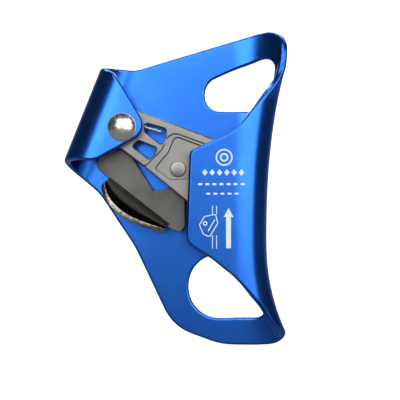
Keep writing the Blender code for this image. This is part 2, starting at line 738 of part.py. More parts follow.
def make_catch_spring(finish):
    """Its front leg lies on the catch plate and its rear leg pushes on the stop pin."""
    front, back = CATCH_BACK + GAP + CATCH_WIRE / 2, CATCH_TAIL - GAP - CATCH_WIRE / 2
    turns = coil(CATCH_PIVOT, CATCH_COIL, CATCH_TURNS, CATCH_SPRING_START, front, back)
    front_leg = turns[0] + CATCH_LEG
    end = CATCH_SPRING_START + 2 * math.pi * CATCH_TURNS
    rear_leg = turns[-1] + Vector((-math.sin(end), 0.0, math.cos(end))) * CATCH_REAR_LEG
    legs = [front_leg] + turns + [rear_leg]
    return finish_object("catch_spring", wire(legs, CATCH_WIRE / 2), finish, CATCH_PIVOT)


def main():
    clear_scene()
    blue = material("blue_anodised", (0.012, 0.13, 0.72), 0.32, 0.9)
    steel = material("polished_steel", (0.76, 0.74, 0.71), 0.18, 1.0)
    cast = material("cast_steel", (0.33, 0.31, 0.28), 0.45, 0.8)
    dark = material("stamped_steel", (0.13, 0.125, 0.11), 0.6, 0.5)
    bronze = material("bush_bronze", (0.45, 0.3, 0.14), 0.4, 1.0)
    spring = material("spring_steel", (0.55, 0.54, 0.52), 0.28, 1.0)
    make_frame(blue)
    make_main_rivet(steel)
    make_pivot_stack(steel, bronze)
    make_cam(cast)
    make_cam_spring(spring)
    make_catch(dark)
    make_catch_rivet(steel)
    make_catch_washer(steel)
    make_stop_pin(steel)
    make_catch_spring(spring)


main()
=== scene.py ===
"""Looks of the chest ascender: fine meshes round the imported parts, metal finishes and a plain studio.

Lengths are in millimetres until a mesh is made, then metres. The frame, cam and catch repeat the part's
own outlines with finer arcs and true normals. Every piece but the marks takes the place of its CAD node.
"""

import json
import math

import bmesh
import bpy
from mathutils import Euler, Matrix, Vector, geometry


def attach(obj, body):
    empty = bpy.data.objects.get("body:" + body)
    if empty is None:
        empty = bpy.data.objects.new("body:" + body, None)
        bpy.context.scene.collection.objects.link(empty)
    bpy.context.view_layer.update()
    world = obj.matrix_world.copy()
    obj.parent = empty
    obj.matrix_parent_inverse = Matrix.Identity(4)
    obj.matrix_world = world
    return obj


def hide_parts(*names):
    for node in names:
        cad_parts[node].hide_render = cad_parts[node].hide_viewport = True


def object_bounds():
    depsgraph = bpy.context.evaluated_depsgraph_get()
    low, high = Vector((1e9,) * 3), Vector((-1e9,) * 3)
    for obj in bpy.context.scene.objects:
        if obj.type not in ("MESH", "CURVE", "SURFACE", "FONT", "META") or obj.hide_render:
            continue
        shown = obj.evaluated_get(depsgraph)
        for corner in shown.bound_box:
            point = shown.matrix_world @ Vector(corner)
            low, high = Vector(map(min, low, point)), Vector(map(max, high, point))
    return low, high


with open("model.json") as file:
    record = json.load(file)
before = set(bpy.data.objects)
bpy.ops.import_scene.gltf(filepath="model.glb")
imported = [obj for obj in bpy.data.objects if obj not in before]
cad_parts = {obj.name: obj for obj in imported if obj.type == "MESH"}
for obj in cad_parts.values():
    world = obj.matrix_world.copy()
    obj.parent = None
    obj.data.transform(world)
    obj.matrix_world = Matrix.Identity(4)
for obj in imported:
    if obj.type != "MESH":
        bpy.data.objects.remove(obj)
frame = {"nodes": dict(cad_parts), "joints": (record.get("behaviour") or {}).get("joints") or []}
CAD_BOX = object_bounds()

MM = 0.001
FLOAT = "NodeSocketFloat"
GAP = 0.3

# Camera and studio
VIEW_CENTRE = (9.2, -5.0)
VIEW_DISTANCE = 450.0
VIEW_WIDTH = 168.0
SENSOR = 36.0
FLOOR_DROP = 30.0

# Sheet and its two folds
PLATE = 3.2
EDGE = 1.05
INSIDE = 14.4
CURL = (INSIDE + PLATE) / 2
WRAP = math.pi * CURL          # sheet length taken up by a fold
REAR_MID = -PLATE / 2
FRAME_BOTTOM = -67.0
FRAME_TOP = 67.0
FOLD_X = 26.3
REACH = 9.3                    # how far the right fold stands out at its waist
WAIST_Z = -22.0
SPREAD = 1.4                   # how far the fold line moves inward towards both ends
SPREAD_TOP = 27.0
SPREAD_BOTTOM = -40.0
SPREAD_RUN = 32.0
HORN = 0.65                    # share of the extra reach by which the whole bend grows above the flap
HORN_START = 36.0
HORN_RUN = 26.0
FLARE_UP = (2.68e-4, 2.4)      # extra reach above the waist: rate, and power of the distance
FLARE_DOWN = (2.795e-3, 2.18)  # and below it
EAR_FOOT = Vector((-37.85, 8.74))
EAR_TILT = math.radians(21.8)
EAR_ALONG = Vector((math.sin(EAR_TILT), math.cos(EAR_TILT)))
EAR_ACROSS = Vector((math.cos(EAR_TILT), -math.sin(EAR_TILT)))
SOFT = 5.0                     # length over which a fold eases in and out
TABLE_STEPS = 600
SLOPE_STEP = 0.05
FOLD_STEPS = 34
FOLD_ROWS = 30
ARC_STEP = math.radians(5)
EDGE_STEPS = 4
SNAP = 0.01                    # a sheet point this near a cut is taken to lie on it

# Depths, front to back
WALL_FRONT = -2 * PLATE - INSIDE
BACK_INNER = -PLATE
WEB_FRONT = -16.0
HEAD_FRONT = -15.3
POCKET_FLOOR = -14.5
WEB_BACK = -12.6
HEAD_BACK = -5.8
CATCH_FRONT = -11.5
CATCH_BACK = -9.2
BOSS_FRONT = -16.5
BOSS_BACK = -4.3

JOINTS = {joint["name"]: joint for joint in frame["joints"]}
PIVOT = tuple(JOINTS["cam_pivot"]["pos_m"][k] / MM for k in (0, 2))
CATCH_PIVOT = tuple(JOINTS["catch_pivot"]["pos_m"][k] / MM for k in (0, 2))

# Main rivet
SHANK = 3.0
DOME_RADIUS = 5.9
DOME_HEIGHT = 2.3
DOME_STEPS = 20
BORE = 4.6
TAIL_RADIUS = 4.6
TAIL_WASHER = 1.0
FRONT_BOSS_RADIUS = 6.4
REAR_BOSS_RADIUS = 5.6

# Cam
FACE_RADIUS = 56.3
FACE_MIDDLE = math.radians(15)
FACE_PITCH = math.radians(15)
FACE_TOP = math.radians(11.5)
FACE_END = math.radians(37)
FACE_STEPS = 24
TOOTH_ROWS = 8
TOOTH_COLUMNS = 4
TOOTH_START = math.radians(14)
TOOTH_SPAN = math.radians(19)
TOOTH_HEIGHT = 1.4
TOOTH_RADIUS = 0.75
TOOTH_LEAN = math.radians(20)
MUD_SLOT = (2.0, 5.0, 13.0)    # width, depth, height
MUD_SLOT_ANGLE = math.radians(23)

# Catch
CATCH_SHANK = 1.8
CATCH_HEAD = 3.25
CATCH_TAIL = -5.3
CATCH_TAIL_RADIUS = 3.4
TAB_START = Vector((-29.6, 3.5))
TAB_END = Vector((-4.4, -16.2))
TAB_DEPTH = 11.0
TAB_EDGE_OUT = 2.0
TAB_BULGE = 5.0
TAB_STATIONS = 40
TAB_BEND_STEPS = 16
CATCH_TRAVEL = math.radians(10)
STOP_PIN = (4.6, 2.2)
STOP_RADIUS = 1.1

# Springs
CAM_WIRE = 1.2
CAM_COIL = 6.6
CAM_TURNS = 4.9
CAM_SPRING_START = math.radians(12)
CAM_LEG_END = (-7.2, 23.5)
CATCH_WIRE = 0.8
CATCH_COIL = 2.9
CATCH_TURNS = 3.25
CATCH_SPRING_START = math.radians(120)
CATCH_LEG = Vector((-4.5, 0.0, -3.4))
CAM_REAR_LEG = 6.0
CATCH_REAR_LEG = 5.0
COIL_STEPS = 48

ROUND = 72

# Marks
INK = 0.12                     # how far a mark stands out of the flap, and how deep it is sunk
INK_FOOT = 0.25


# ---------------------------------------------------------------- shared helpers

def mesh_of(bm, name):
    mesh = bpy.data.meshes.new(name)
    bm.to_mesh(mesh)
    bm.free()
    return mesh


def crisp(mesh, degrees=40):
    """Shade the mesh smooth, except across edges sharper than this."""
    mesh.shade_smooth()
    mesh.set_sharp_from_angle(angle=math.radians(degrees))
    return mesh


def combine(tree, *values):
    """A vector made from three numbers or sockets."""
    node = add(tree, "ShaderNodeCombineXYZ")
    for socket, value in zip(node.inputs, values):
        if isinstance(value, (int, float)):
            socket.default_value = value
        else:
            tree.links.new(value, socket)
    return node.outputs[0]


# ---------------------------------------------------------------- camera, light and floor

def make_camera():
    data = bpy.data.cameras.new("camera")
    data.sensor_width = SENSOR
    data.lens = SENSOR * VIEW_DISTANCE / VIEW_WIDTH
    data.clip_start = 0.01
    camera = bpy.data.objects.new("camera", data)
    camera.location = Vector((VIEW_CENTRE[0], WALL_FRONT / 2 - VIEW_DISTANCE, VIEW_CENTRE[1])) * MM
    camera.rotation_euler = Euler((math.radians(90), 0, 0))
    bpy.context.scene.collection.objects.link(camera)
    bpy.context.scene.camera = camera


def softbox(name, turn, rise, size, radiance, distance=1.2):
    """A soft light of a given brightness, aimed at the object from a turn and a rise in degrees."""
    swing, lift = math.radians(turn), math.radians(rise)
    level = math.cos(lift)
    place = Vector((math.sin(swing) * level, -math.cos(swing) * level, math.sin(lift))) * distance
    area_light(name, place, (0.0, 0.0, 0.0), size, radiance)


def area_light(name, place, target, size, radiance):
    data = bpy.data.lights.new(name, "AREA")
    data.shape = "RECTANGLE"
    data.size, data.size_y = size
    data.energy = radiance * math.pi * size[0] * size[1]
    lamp = bpy.data.objects.new(name, data)
    lamp.location = place
    lamp.rotation_euler = (Vector(target) - Vector(place)).to_track_quat("-Z", "Y").to_euler()
    bpy.context.scene.collection.objects.link(lamp)


def make_world():
    """A dim surround for reflections, which the camera itself sees as pale paper."""
    world = bpy.data.worlds.new("studio")
    world.use_nodes = True
    tree = world.node_tree
    surround = tree.nodes["Background"]
    surround.inputs["Color"].default_value = (0.85, 0.92, 1.0, 1.0)
    surround.inputs["Strength"].default_value = 0.07
    paper = add(tree, "ShaderNodeBackground")
    paper.inputs["Color"].default_value = (0.95, 0.95, 0.95, 1.0)
    mixed = add(tree, "ShaderNodeMixShader")
    tree.links.new(add(tree, "ShaderNodeLightPath").outputs["Is Camera Ray"], mixed.inputs[0])
    tree.links.new(surround.outputs[0], mixed.inputs[1])
    tree.links.new(paper.outputs[0], mixed.inputs[2])
    tree.links.new(mixed.outputs[0], tree.nodes["World Output"].inputs["Surface"])
    bpy.context.scene.world = world
    bpy.context.scene.view_settings.view_transform = "Standard"


def make_studio():
    """A bright soft box high on the left, a tall one on the right, and a lit backdrop."""
    make_world()
    softbox("left_box", -15.2, 22, (0.50, 0.99), 3.7)
    softbox("right_box", 27.5, 7, (0.98, 1.9), 3.0)
    softbox("middle_high", 0, 25, (0.15, 0.66), 1.5)
    softbox("rear_box", 180, 4, (0.7, 0.7), 1.6, 0.95)
    area_light("backdrop_wash", (0.0, 0.35, 1.1), (0.0, 1.1, 0.0), (1.8, 0.5), 9.0)


def make_sweep():
    """A floor that curves up into a backdrop, as one smooth sheet."""
    low = CAD_BOX[0][2] - FLOOR_DROP * MM
    radius, near, width = 0.5, -1.5, 1.8
    wall = 1.1
    profile = [(near, low)]
    for k in range(25):
        swing = math.pi / 2 * k / 24
        profile.append((wall - radius + radius * math.sin(swing), low + radius * (1 - math.cos(swing))))
    profile.append((wall, low + 2.4))
    bm = bmesh.new()
    sides = [[bm.verts.new((x, y, z)) for y, z in profile] for x in (-width, width)]
    for k in range(len(profile) - 1):
        bm.faces.new([sides[0][k], sides[1][k], sides[1][k + 1], sides[0][k + 1]])
    mesh = mesh_of(bm, "sweep")
    mesh.shade_smooth()
    sweep = bpy.data.objects.new("sweep", mesh)
    bpy.context.scene.collection.objects.link(sweep)
    sweep.data.materials.append(sweep_paper())


# ---------------------------------------------------------------- shader groups and finishes

def new_group(name, inputs, outputs):
    """A shader group with float or colour sockets, and its two end nodes."""
    tree = bpy.data.node_groups.new(name, "ShaderNodeTree")
    for label, kind, value in inputs:
        socket = tree.interface.new_socket(label, in_out="INPUT", socket_type=kind)
        socket.default_value = value
    for label, kind in outputs:
        tree.interface.new_socket(label, in_out="OUTPUT", socket_type=kind)
    return tree, tree.nodes.new("NodeGroupInput"), tree.nodes.new("NodeGroupOutput")


def add(tree, kind, **settings):
    node = tree.nodes.new(kind)
    for key, value in settings.items():
        setattr(node, key, value)
    return node


def math_node(tree, operation, one, two=None, clamp=False):
    node = add(tree, "ShaderNodeMath", operation=operation, use_clamp=clamp)
    for slot, value in zip(node.inputs, (one, two)):
        if value is None:
            continue
        if isinstance(value, (int, float)):
            slot.default_value = value
        else:
            tree.links.new(value, slot)
    return node.outputs[0]


def grain_group():
    """Fine grain: a height for bump, and a value round one half for colour and roughness."""
    tree, ends, out = new_group("fine_grain", [("Size", FLOAT, 0.3), ("Detail", FLOAT, 3.0),
                                               ("Stretch", FLOAT, 1.0)],
                                [("Height", FLOAT), ("Patches", FLOAT)])
    place = add(tree, "ShaderNodeTexCoord").outputs["Object"]
    per_metre = math_node(tree, "DIVIDE", 1.0 / MM, ends.outputs["Size"])
    scale = add(tree, "ShaderNodeCombineXYZ")
    tree.links.new(ends.outputs["Stretch"], scale.inputs["X"])
    scale.inputs["Y"].default_value = 1.0
    scale.inputs["Z"].default_value = 1.0
    stretched = add(tree, "ShaderNodeVectorMath", operation="MULTIPLY")
    tree.links.new(place, stretched.inputs[0])
    tree.links.new(scale.outputs[0], stretched.inputs[1])
    fine = add(tree, "ShaderNodeTexNoise")
    tree.links.new(stretched.outputs[0], fine.inputs["Vector"])
    tree.links.new(per_metre, fine.inputs["Scale"])
    tree.links.new(ends.outputs["Detail"], fine.inputs["Detail"])
    broad = add(tree, "ShaderNodeTexNoise")
    tree.links.new(place, broad.inputs["Vector"])
    tree.links.new(math_node(tree, "MULTIPLY", per_metre, 0.02), broad.inputs["Scale"])
    broad.inputs["Detail"].default_value = 2.0
    tree.links.new(fine.outputs["Fac"], out.inputs["Height"])
    tree.links.new(broad.outputs["Fac"], out.inputs["Patches"])
    return tree


def edge_rub_shade_group():
    """A mask that follows the piece's rounded edges and breaks up along them: real wear on some finishes,
    painted shade or a painted highlight on others.
    """
    tree, ends, out = new_group("edges_rubbed_and_shaded", [("Amount", FLOAT, 0.5), ("Size", FLOAT, 1.5)],
                                [("Mask", FLOAT)])
    edge = add(tree, "ShaderNodeAttribute", attribute_name="edge").outputs["Fac"]
    place = add(tree, "ShaderNodeTexCoord").outputs["Object"]
    noise = add(tree, "ShaderNodeTexNoise")
    tree.links.new(place, noise.inputs["Vector"])
    tree.links.new(math_node(tree, "DIVIDE", 1.0 / MM, ends.outputs["Size"]), noise.inputs["Scale"])
    noise.inputs["Detail"].default_value = 4.0
    broken = math_node(tree, "MULTIPLY", edge, noise.outputs["Fac"])
    lifted = math_node(tree, "MULTIPLY", math_node(tree, "SUBTRACT", broken, 0.25), 3.0, clamp=True)
    amount = math_node(tree, "MULTIPLY", lifted, ends.outputs["Amount"], clamp=True)
    tree.links.new(amount, out.inputs["Mask"])
    return tree


def shift_colour_group():
    """Two colours mixed by patches and then lifted towards a third along the edge mask: real wear on most
    finishes, painted shade where the third is darker, a painted highlight on the catch tab.
    """
    tree, ends, out = new_group(
        "colour_by_patch",
        [("Base", "NodeSocketColor", (0.5, 0.5, 0.5, 1)), ("Other", "NodeSocketColor", (0.4, 0.4, 0.4, 1)),
         ("Worn", "NodeSocketColor", (0.8, 0.8, 0.8, 1)), ("Patches", FLOAT, 0.5),
         ("RubShadeMask", FLOAT, 0.0)],
        [("Color", "NodeSocketColor")])
    first = add(tree, "ShaderNodeMix", data_type="RGBA")
    raised = math_node(tree, "SUBTRACT", ends.outputs["Patches"], 0.3)
    spread = math_node(tree, "MULTIPLY", raised, 2.5, clamp=True)
    tree.links.new(spread, first.inputs[0])
    tree.links.new(ends.outputs["Base"], first.inputs[6])
    tree.links.new(ends.outputs["Other"], first.inputs[7])
    second = add(tree, "ShaderNodeMix", data_type="RGBA")
    tree.links.new(ends.outputs["RubShadeMask"], second.inputs[0])
    tree.links.new(first.outputs[2], second.inputs[6])
    tree.links.new(ends.outputs["Worn"], second.inputs[7])
    tree.links.new(second.outputs[2], out.inputs["Color"])
    return tree


GRAIN = grain_group()
EDGE_RUB_SHADE = edge_rub_shade_group()
PATCH_COLOUR = shift_colour_group()


def place_group(tree, group, **values):
    node = tree.nodes.new("ShaderNodeGroup")
    node.node_tree = group
    for label, value in values.items():
        node.inputs[label.replace("_", " ")].default_value = value
    return node


def finish(name, base, other, rub_shade_colour, roughness, metallic, grain, bump, rub_shade_amount, detail=3.0, stretch=1.0,
           spread=0.08, coat=0.0, coat_roughness=0.1, specular=0.5):
    """A metal or paint: patchy colour, edges lifted towards an edge colour (real wear on some finishes,
    painted shade or a painted highlight on others), grain in its roughness and its bump.
    """
    made = bpy.data.materials.new(name)
    made.use_nodes = True
    tree = made.node_tree
    shader = tree.nodes["Principled BSDF"]
    shader.inputs["Metallic"].default_value = metallic
    shader.inputs["Coat Weight"].default_value = coat
    shader.inputs["Coat Roughness"].default_value = coat_roughness
    shader.inputs["Specular IOR Level"].default_value = specular
    texture = place_group(tree, GRAIN, Size=grain, Detail=detail, Stretch=stretch)
    mask = place_group(tree, EDGE_RUB_SHADE, Amount=rub_shade_amount, Size=1.2)
    colour = place_group(tree, PATCH_COLOUR, Base=(*base, 1), Other=(*other, 1), Worn=(*rub_shade_colour, 1))
    tree.links.new(texture.outputs["Patches"], colour.inputs["Patches"])
    tree.links.new(mask.outputs["Mask"], colour.inputs["RubShadeMask"])
    tree.links.new(colour.outputs["Color"], shader.inputs["Base Color"])
    centred = math_node(tree, "SUBTRACT", texture.outputs["Height"], 0.5)
    grainy = math_node(tree, "MULTIPLY", centred, spread * 4)
    tree.links.new(math_node(tree, "ADD", grainy, roughness, clamp=True), shader.inputs["Roughness"])
    relief = add(tree, "ShaderNodeBump")
    relief.inputs["Strength"].default_value = bump
    relief.inputs["Distance"].default_value = 0.05 * MM
    tree.links.new(texture.outputs["Height"], relief.inputs["Height"])
    tree.links.new(relief.outputs["Normal"], shader.inputs["Normal"])
    return made


def blue_anodised():
    # The dark navy edge colour is painted shade: a dark outline along every rounded edge of the frame.
    return finish("blue_anodised", (0.019, 0.155, 0.66), (0.016, 0.140, 0.62), (0.004, 0.030, 0.20),
                  roughness=0.25, metallic=1.0, grain=0.16, bump=0.10, rub_shade_amount=0.75, spread=0.04,
                  coat=0.25, coat_roughness=0.22)


def polished_steel():
    return finish("polished_steel", (0.74, 0.70, 0.65), (0.66, 0.62, 0.57), (0.85, 0.84, 0.82),
                  roughness=0.27, metallic=1.0, grain=1.3, bump=0.35, rub_shade_amount=0.0, spread=0.10)


def plain_steel():
    return finish("plain_steel", (0.25, 0.245, 0.235), (0.215, 0.21, 0.20), (0.55, 0.54, 0.52),
                  roughness=0.32, metallic=1.0, grain=0.2, bump=0.15, rub_shade_amount=0.5, spread=0.06)


def cast_steel():
    # The near-black edge colour is painted shade: dark lines along the cam's rounded edges and the steps
    # between its layers.
    return finish("cast_steel", (0.25, 0.245, 0.235), (0.215, 0.21, 0.20), (0.055, 0.053, 0.050),
                  roughness=0.42, metallic=1.0, grain=0.22, bump=0.55, rub_shade_amount=0.95, spread=0.08)


def dark_steel():
    return finish("dark_steel", (0.135, 0.131, 0.124), (0.062, 0.060, 0.057), (0.30, 0.285, 0.255),
                  roughness=0.45, metallic=1.0, grain=0.34, bump=1.0, rub_shade_amount=0.7, spread=0.12)


def tab_painted_shade_and_highlight():
    # A near-black copy of the catch's steel for its bent tab: painted shade on the tab, with a cream edge
    # colour that is a painted highlight along its free edge.
    return finish("tab_painted_shade_and_highlight", (0.020, 0.019, 0.017), (0.012, 0.012, 0.011), (0.36, 0.33, 0.27),
                  roughness=0.24, metallic=1.0, grain=0.4, bump=0.8, rub_shade_amount=0.8, spread=0.08)


def bush_bronze():
    return finish("bush_bronze", (0.50, 0.33, 0.15), (0.42, 0.27, 0.12), (0.7, 0.52, 0.3),
                  roughness=0.35, metallic=1.0, grain=0.2, bump=0.15, rub_shade_amount=0.3)


def spring_steel():
    return finish("spring_steel", (0.66, 0.65, 0.63), (0.58, 0.57, 0.55), (0.8, 0.8, 0.79),
                  roughness=0.22, metallic=1.0, grain=0.12, bump=0.1, rub_shade_amount=0.0, stretch=0.2)


def marking_white():
    return finish("marking_white", (0.78, 0.84, 0.95), (0.70, 0.78, 0.92), (0.9, 0.93, 1.0),
                  roughness=0.55, metallic=0.0, grain=0.10, bump=0.3, rub_shade_amount=0.0, spread=0.1)


def sweep_paper():
    """Pale paper that gives back less light to the polished metal than to the camera."""
    paper = finish("sweep_paper", (0.90, 0.90, 0.90), (0.89, 0.89, 0.89), (0.9, 0.9, 0.9),
                   roughness=0.85, metallic=0.0, grain=1.0, bump=0.03, rub_shade_amount=0.0, specular=0.2)
    tree = paper.node_tree
    dimmed = add(tree, "ShaderNodeBsdfDiffuse")
    dimmed.inputs["Color"].default_value = (0.20, 0.21, 0.23, 1.0)
    mixed = add(tree, "ShaderNodeMixShader")
    tree.links.new(add(tree, "ShaderNodeLightPath").outputs["Is Camera Ray"], mixed.inputs[0])
    tree.links.new(dimmed.outputs[0], mixed.inputs[1])
    tree.links.new(tree.nodes["Principled BSDF"].outputs[0], mixed.inputs[2])
    tree.links.new(mixed.outputs[0], tree.nodes["Material Output"].inputs["Surface"])
    return paper


# ---------------------------------------------------------------- outlines

def filleted(corners, step=ARC_STEP):
    """Points of a closed outline whose corners (x, z, radius) are rounded by arcs."""
    points = []
    count = len(corners)
    for i, (x, z, radius) in enumerate(corners):
        corner = Vector((x, z))
        before = (Vector(corners[i - 1][:2]) - corner).normalized()
        after = (Vector(corners[(i + 1) % count][:2]) - corner).normalized()
        half = before.angle(after) / 2
        if radius == 0 or half > math.radians(89.7):
            points.append(corner)
            continue
        centre = corner + (before + after).normalized() * (radius / math.sin(half))
        first = corner + before * (radius / math.tan(half)) - centre
        last = corner + after * (radius / math.tan(half)) - centre
        turn = math.pi - 2 * half
        sign = 1 if first.x * last.y - first.y * last.x > 0 else -1
        steps = max(1, math.ceil(turn / step))
        for k in range(steps + 1):
            angle = sign * turn * k / steps
            cos, sin = math.cos(angle), math.sin(angle)
            points.append(centre + Vector((first.x * cos - first.y * sin, first.x * sin + first.y * cos)))
    return points


def circle(x, z, radius, steps=ROUND):
    return [Vector((x + radius * math.cos(2 * math.pi * k / steps),
                    z + radius * math.sin(2 * math.pi * k / steps))) for k in range(steps)]


def signed_area(loop):
    return sum(a.x * b.y - b.x * a.y for a, b in zip(loop, loop[1:] + loop[:1])) / 2


def left_of(loop, i):
    """The direction to the left of a loop at one point, and the square-to-side share of it."""
    ahead = (loop[(i + 1) % len(loop)] - loop[i]).normalized()
    behind = (loop[i] - loop[i - 1]).normalized()
    left = Vector((-ahead.y - behind.y, ahead.x + behind.x)).normalized()
    return left, max(0.5, left.dot(Vector((-ahead.y, ahead.x))))


def inset_loop(loop, distance):
    moved = []
    for i, point in enumerate(loop):
        left, share = left_of(loop, i)
        moved.append(point + left * (distance / share))
    return moved


def flat_sheet(loops, thickness, edge):
    """A bmesh of the flat sheet with rounded edges, its true normals and its edge mask as vertex layers."""
    sides = [loop if (signed_area(loop) > 0) == (i == 0) else loop[::-1] for i, loop in enumerate(loops)]
    swings = [math.pi / 2 * k / EDGE_STEPS for k in range(EDGE_STEPS + 1)]
    quarter = [(edge * (1 - math.sin(s)), thickness / 2 - edge + edge * math.cos(s), s) for s in swings]
    profile = quarter + [(inward, -height, math.pi - s) for inward, height, s in reversed(quarter)]
    bm = bmesh.new()
    true_normal = bm.verts.layers.float_vector.new("true_normal")
    edge_mask = bm.verts.layers.float.new("edge")
    top, bottom = [], []
    for loop in sides:
        lefts = [left_of(loop, i)[0] for i in range(len(loop))]
        rings = []
        for inward, height, swing in profile:
            made = []
            for point, left in zip(inset_loop(loop, inward), lefts):
                vert = bm.verts.new((point.x, point.y, height))
                sin = math.sin(swing)
                vert[true_normal] = Vector((-left.x * sin, -left.y * sin, math.cos(swing)))
                vert[edge_mask] = math.sqrt(max(0.0, sin))
                made.append(vert)
            rings.append(made)
        for upper, lower in zip(rings, rings[1:]):
            for k in range(len(loop)):
                nxt = (k + 1) % len(loop)
                bm.faces.new([upper[k], lower[k], lower[nxt], upper[nxt]])
        top += rings[0]
        bottom += rings[-1]
    flat = [[(p.x, p.y, 0.0) for p in inset_loop(loop, edge)] for loop in sides]
    for a, b, c in geometry.tessellate_polygon(flat):
        if (top[b].co - top[a].co).cross(top[c].co - top[a].co).z < 0:
            b, c = c, b
        bm.faces.new([top[a], top[b], top[c]])
        bm.faces.new([bottom[a], bottom[c], bottom[b]])
    return bm, true_normal


def mesh_with_normals(bm, true_normal):
    """Make the mesh, its faces turned outward and its shading taken from the true normals."""
    bmesh.ops.triangulate(bm, faces=bm.faces)
    bmesh.ops.reverse_faces(bm, faces=bm.faces)
    normals = [vert[true_normal].normalized() for vert in bm.verts]
    bm.verts.layers.float_vector.remove(true_normal)
    mesh = mesh_of(bm, "piece")
    mesh.shade_smooth()
    mesh.normals_split_custom_set_from_vertices(normals)
    return mesh


def slab(loops, front, back, edge):
    """A closed plate between two depths."""
    bm, true_normal = flat_sheet(loops, back - front, edge)
    middle = (front + back) / 2
    for vert in bm.verts:
        normal = vert[true_normal].copy()
        vert[true_normal] = Vector((normal.x, normal.z, normal.y))
        vert.co = Vector((vert.co.x, middle + vert.co.z, vert.co.y)) * MM
    return mesh_with_normals(bm, true_normal)


# ---------------------------------------------------------------- solids of revolution and joining

def rounded_profile(profile, radius, steps=3):
    """The half section with its outer corners rounded by a small radius."""
    corners = [(r, y, radius if r > 0 else 0) for r, y in profile]
    return [(point.x, point.y) for point in filleted(corners, math.pi / 2 / steps)]


def turned(profile, x, z, steps=ROUND):
    """A closed solid turned round the y axis line through (x, z), from its half section (radius, y)."""
    bm = bmesh.new()
    rings = []
    for radius, y in profile:
        if radius < 1e-6:
            rings.append([bm.verts.new(Vector((x, y, z)) * MM)] * steps)
            continue
        rings.append([bm.verts.new(Vector((p.x, y, p.y)) * MM) for p in circle(x, z, radius, steps)])
    for one, two in zip(rings, rings[1:] + rings[:1]):
        for k in range(steps):
            quad = [one[k], one[(k + 1) % steps], two[(k + 1) % steps], two[k]]
            corners = list(dict.fromkeys(quad))
            if len(corners) > 2:
                bm.faces.new(corners)
    bmesh.ops.recalc_face_normals(bm, faces=bm.faces)
    return crisp(mesh_of(bm, "turned"))


def ring(outer, inner, front, back, x, z, edge=0.15):
    profile = [(inner, front), (outer, front), (outer, back), (inner, back)]
    return turned(rounded_profile(profile, edge), x, z)


def piece(name, meshes, look, body, *nodes):
    """Join meshes into one piece that rides on a body and takes the place of its CAD nodes."""
    objects = []
    for mesh in meshes:
        mesh.materials.clear()
        mesh.materials.append(look)
        obj = bpy.data.objects.new(name, mesh)
        bpy.context.scene.collection.objects.link(obj)
        objects.append(obj)
    if len(objects) > 1:
        with bpy.context.temp_override(active_object=objects[0], selected_editable_objects=objects,
                                       selected_objects=objects):
            bpy.ops.object.join()
    made = objects[0]
    made.name = name
    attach(made, body)
    if nodes:
        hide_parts(*nodes)
    return made


# ---------------------------------------------------------------- bent frame

def eased(share):
    share = min(max(share, 0.0), 1.0)
    return share * share * (3 - 2 * share)


def bend_table():
    """Sums along a fold: turn, plain run across, stretched run across, and depth, at even steps of sheet."""
    rows = [(0.0, 0.0, 0.0, 0.0)]
    step = (WRAP + 2 * SOFT) / TABLE_STEPS
    for k in range(TABLE_STEPS):
        run = -SOFT + (k + 0.5) * step
        share = eased((run + SOFT) / (2 * SOFT)) * eased((WRAP + SOFT - run) / (2 * SOFT))
        turn, plain, stretched, depth = rows[-1]
        middle = turn + share / CURL * step / 2
        rows.append((turn + share / CURL * step, plain + math.cos(middle) * step,
                     stretched + share * math.cos(middle) * step, depth + math.sin(middle) * step))
    scale = 2 * CURL / rows[-1][3]
    return [(plain, stretched, depth * scale) for _, plain, stretched, depth in rows]


def bend(run, reach):
    """How far a sheet point lies past the fold line, and how deep, when the bend reaches a given width."""
    if run <= -SOFT:
        return run, 0.0
    if run >= WRAP + SOFT:
        return WRAP - run, 2 * CURL
    place = (run + SOFT) / (WRAP + 2 * SOFT) * TABLE_STEPS
    low = min(int(place), TABLE_STEPS - 1)
    part = place - low
    plain, stretched, depth = (one + (two - one) * part for one, two in zip(BEND[low], BEND[low + 1]))
    widest = BEND[TABLE_STEPS // 2]
    return -SOFT + plain + (reach + SOFT - widest[0]) / widest[1] * stretched, depth


BEND = bend_table()


def fold_line(z):
    """Where the right-hand fold starts: nearer the middle towards both ends of the plate."""
    beyond = max(z - SPREAD_TOP, SPREAD_BOTTOM - z, 0.0)
    return FOLD_X - SPREAD * (beyond / SPREAD_RUN) ** 1.5


def fold_reach(z):
    rate, power = FLARE_UP if z > WAIST_Z else FLARE_DOWN
    return REACH + rate * abs(z - WAIST_Z) ** power + FOLD_X - fold_line(z)


def fold_growth(z):
    """How many times wider the bend is than at the waist: it opens like a horn above the flap."""
    return 1 + HORN * (fold_reach(z) / REACH - 1) * eased((z - HORN_START) / HORN_RUN)


def ear_point(along, across):
    return EAR_FOOT + EAR_ALONG * along + EAR_ACROSS * across


def ear_corner(along, across, radius):
    place = ear_point(along, across)
    return (place.x, place.y, radius)


def on_ear(x, z):
    offset = Vector((x, z)) - EAR_FOOT
    return ear_point(offset.dot(EAR_ALONG), -WRAP - offset.dot(EAR_ACROSS))


def mid_surface(x, z):
    """Where a point of the flat sheet lies once both folds are made."""
    offset = Vector((x, z)) - EAR_FOOT
    across = offset.dot(EAR_ACROSS)
    if across < SOFT:
        past, depth = bend(-across, CURL)
        place = ear_point(offset.dot(EAR_ALONG), -past)
        return Vector((place.x, REAR_MID - depth, place.y))
    line, growth = fold_line(z), fold_growth(z)
    past, depth = bend((x - line) / growth, fold_reach(z) / growth)
    return Vector((line + past * growth, REAR_MID - depth * growth, z))


def folded(x, z, height, step=SLOPE_STEP):
    """The place of a sheet point at a height above mid sheet."""
    along_x = mid_surface(x + step, z) - mid_surface(x - step, z)
    along_z = mid_surface(x, z + step) - mid_surface(x, z - step)
    return mid_surface(x, z) + along_z.cross(along_x).normalized() * height


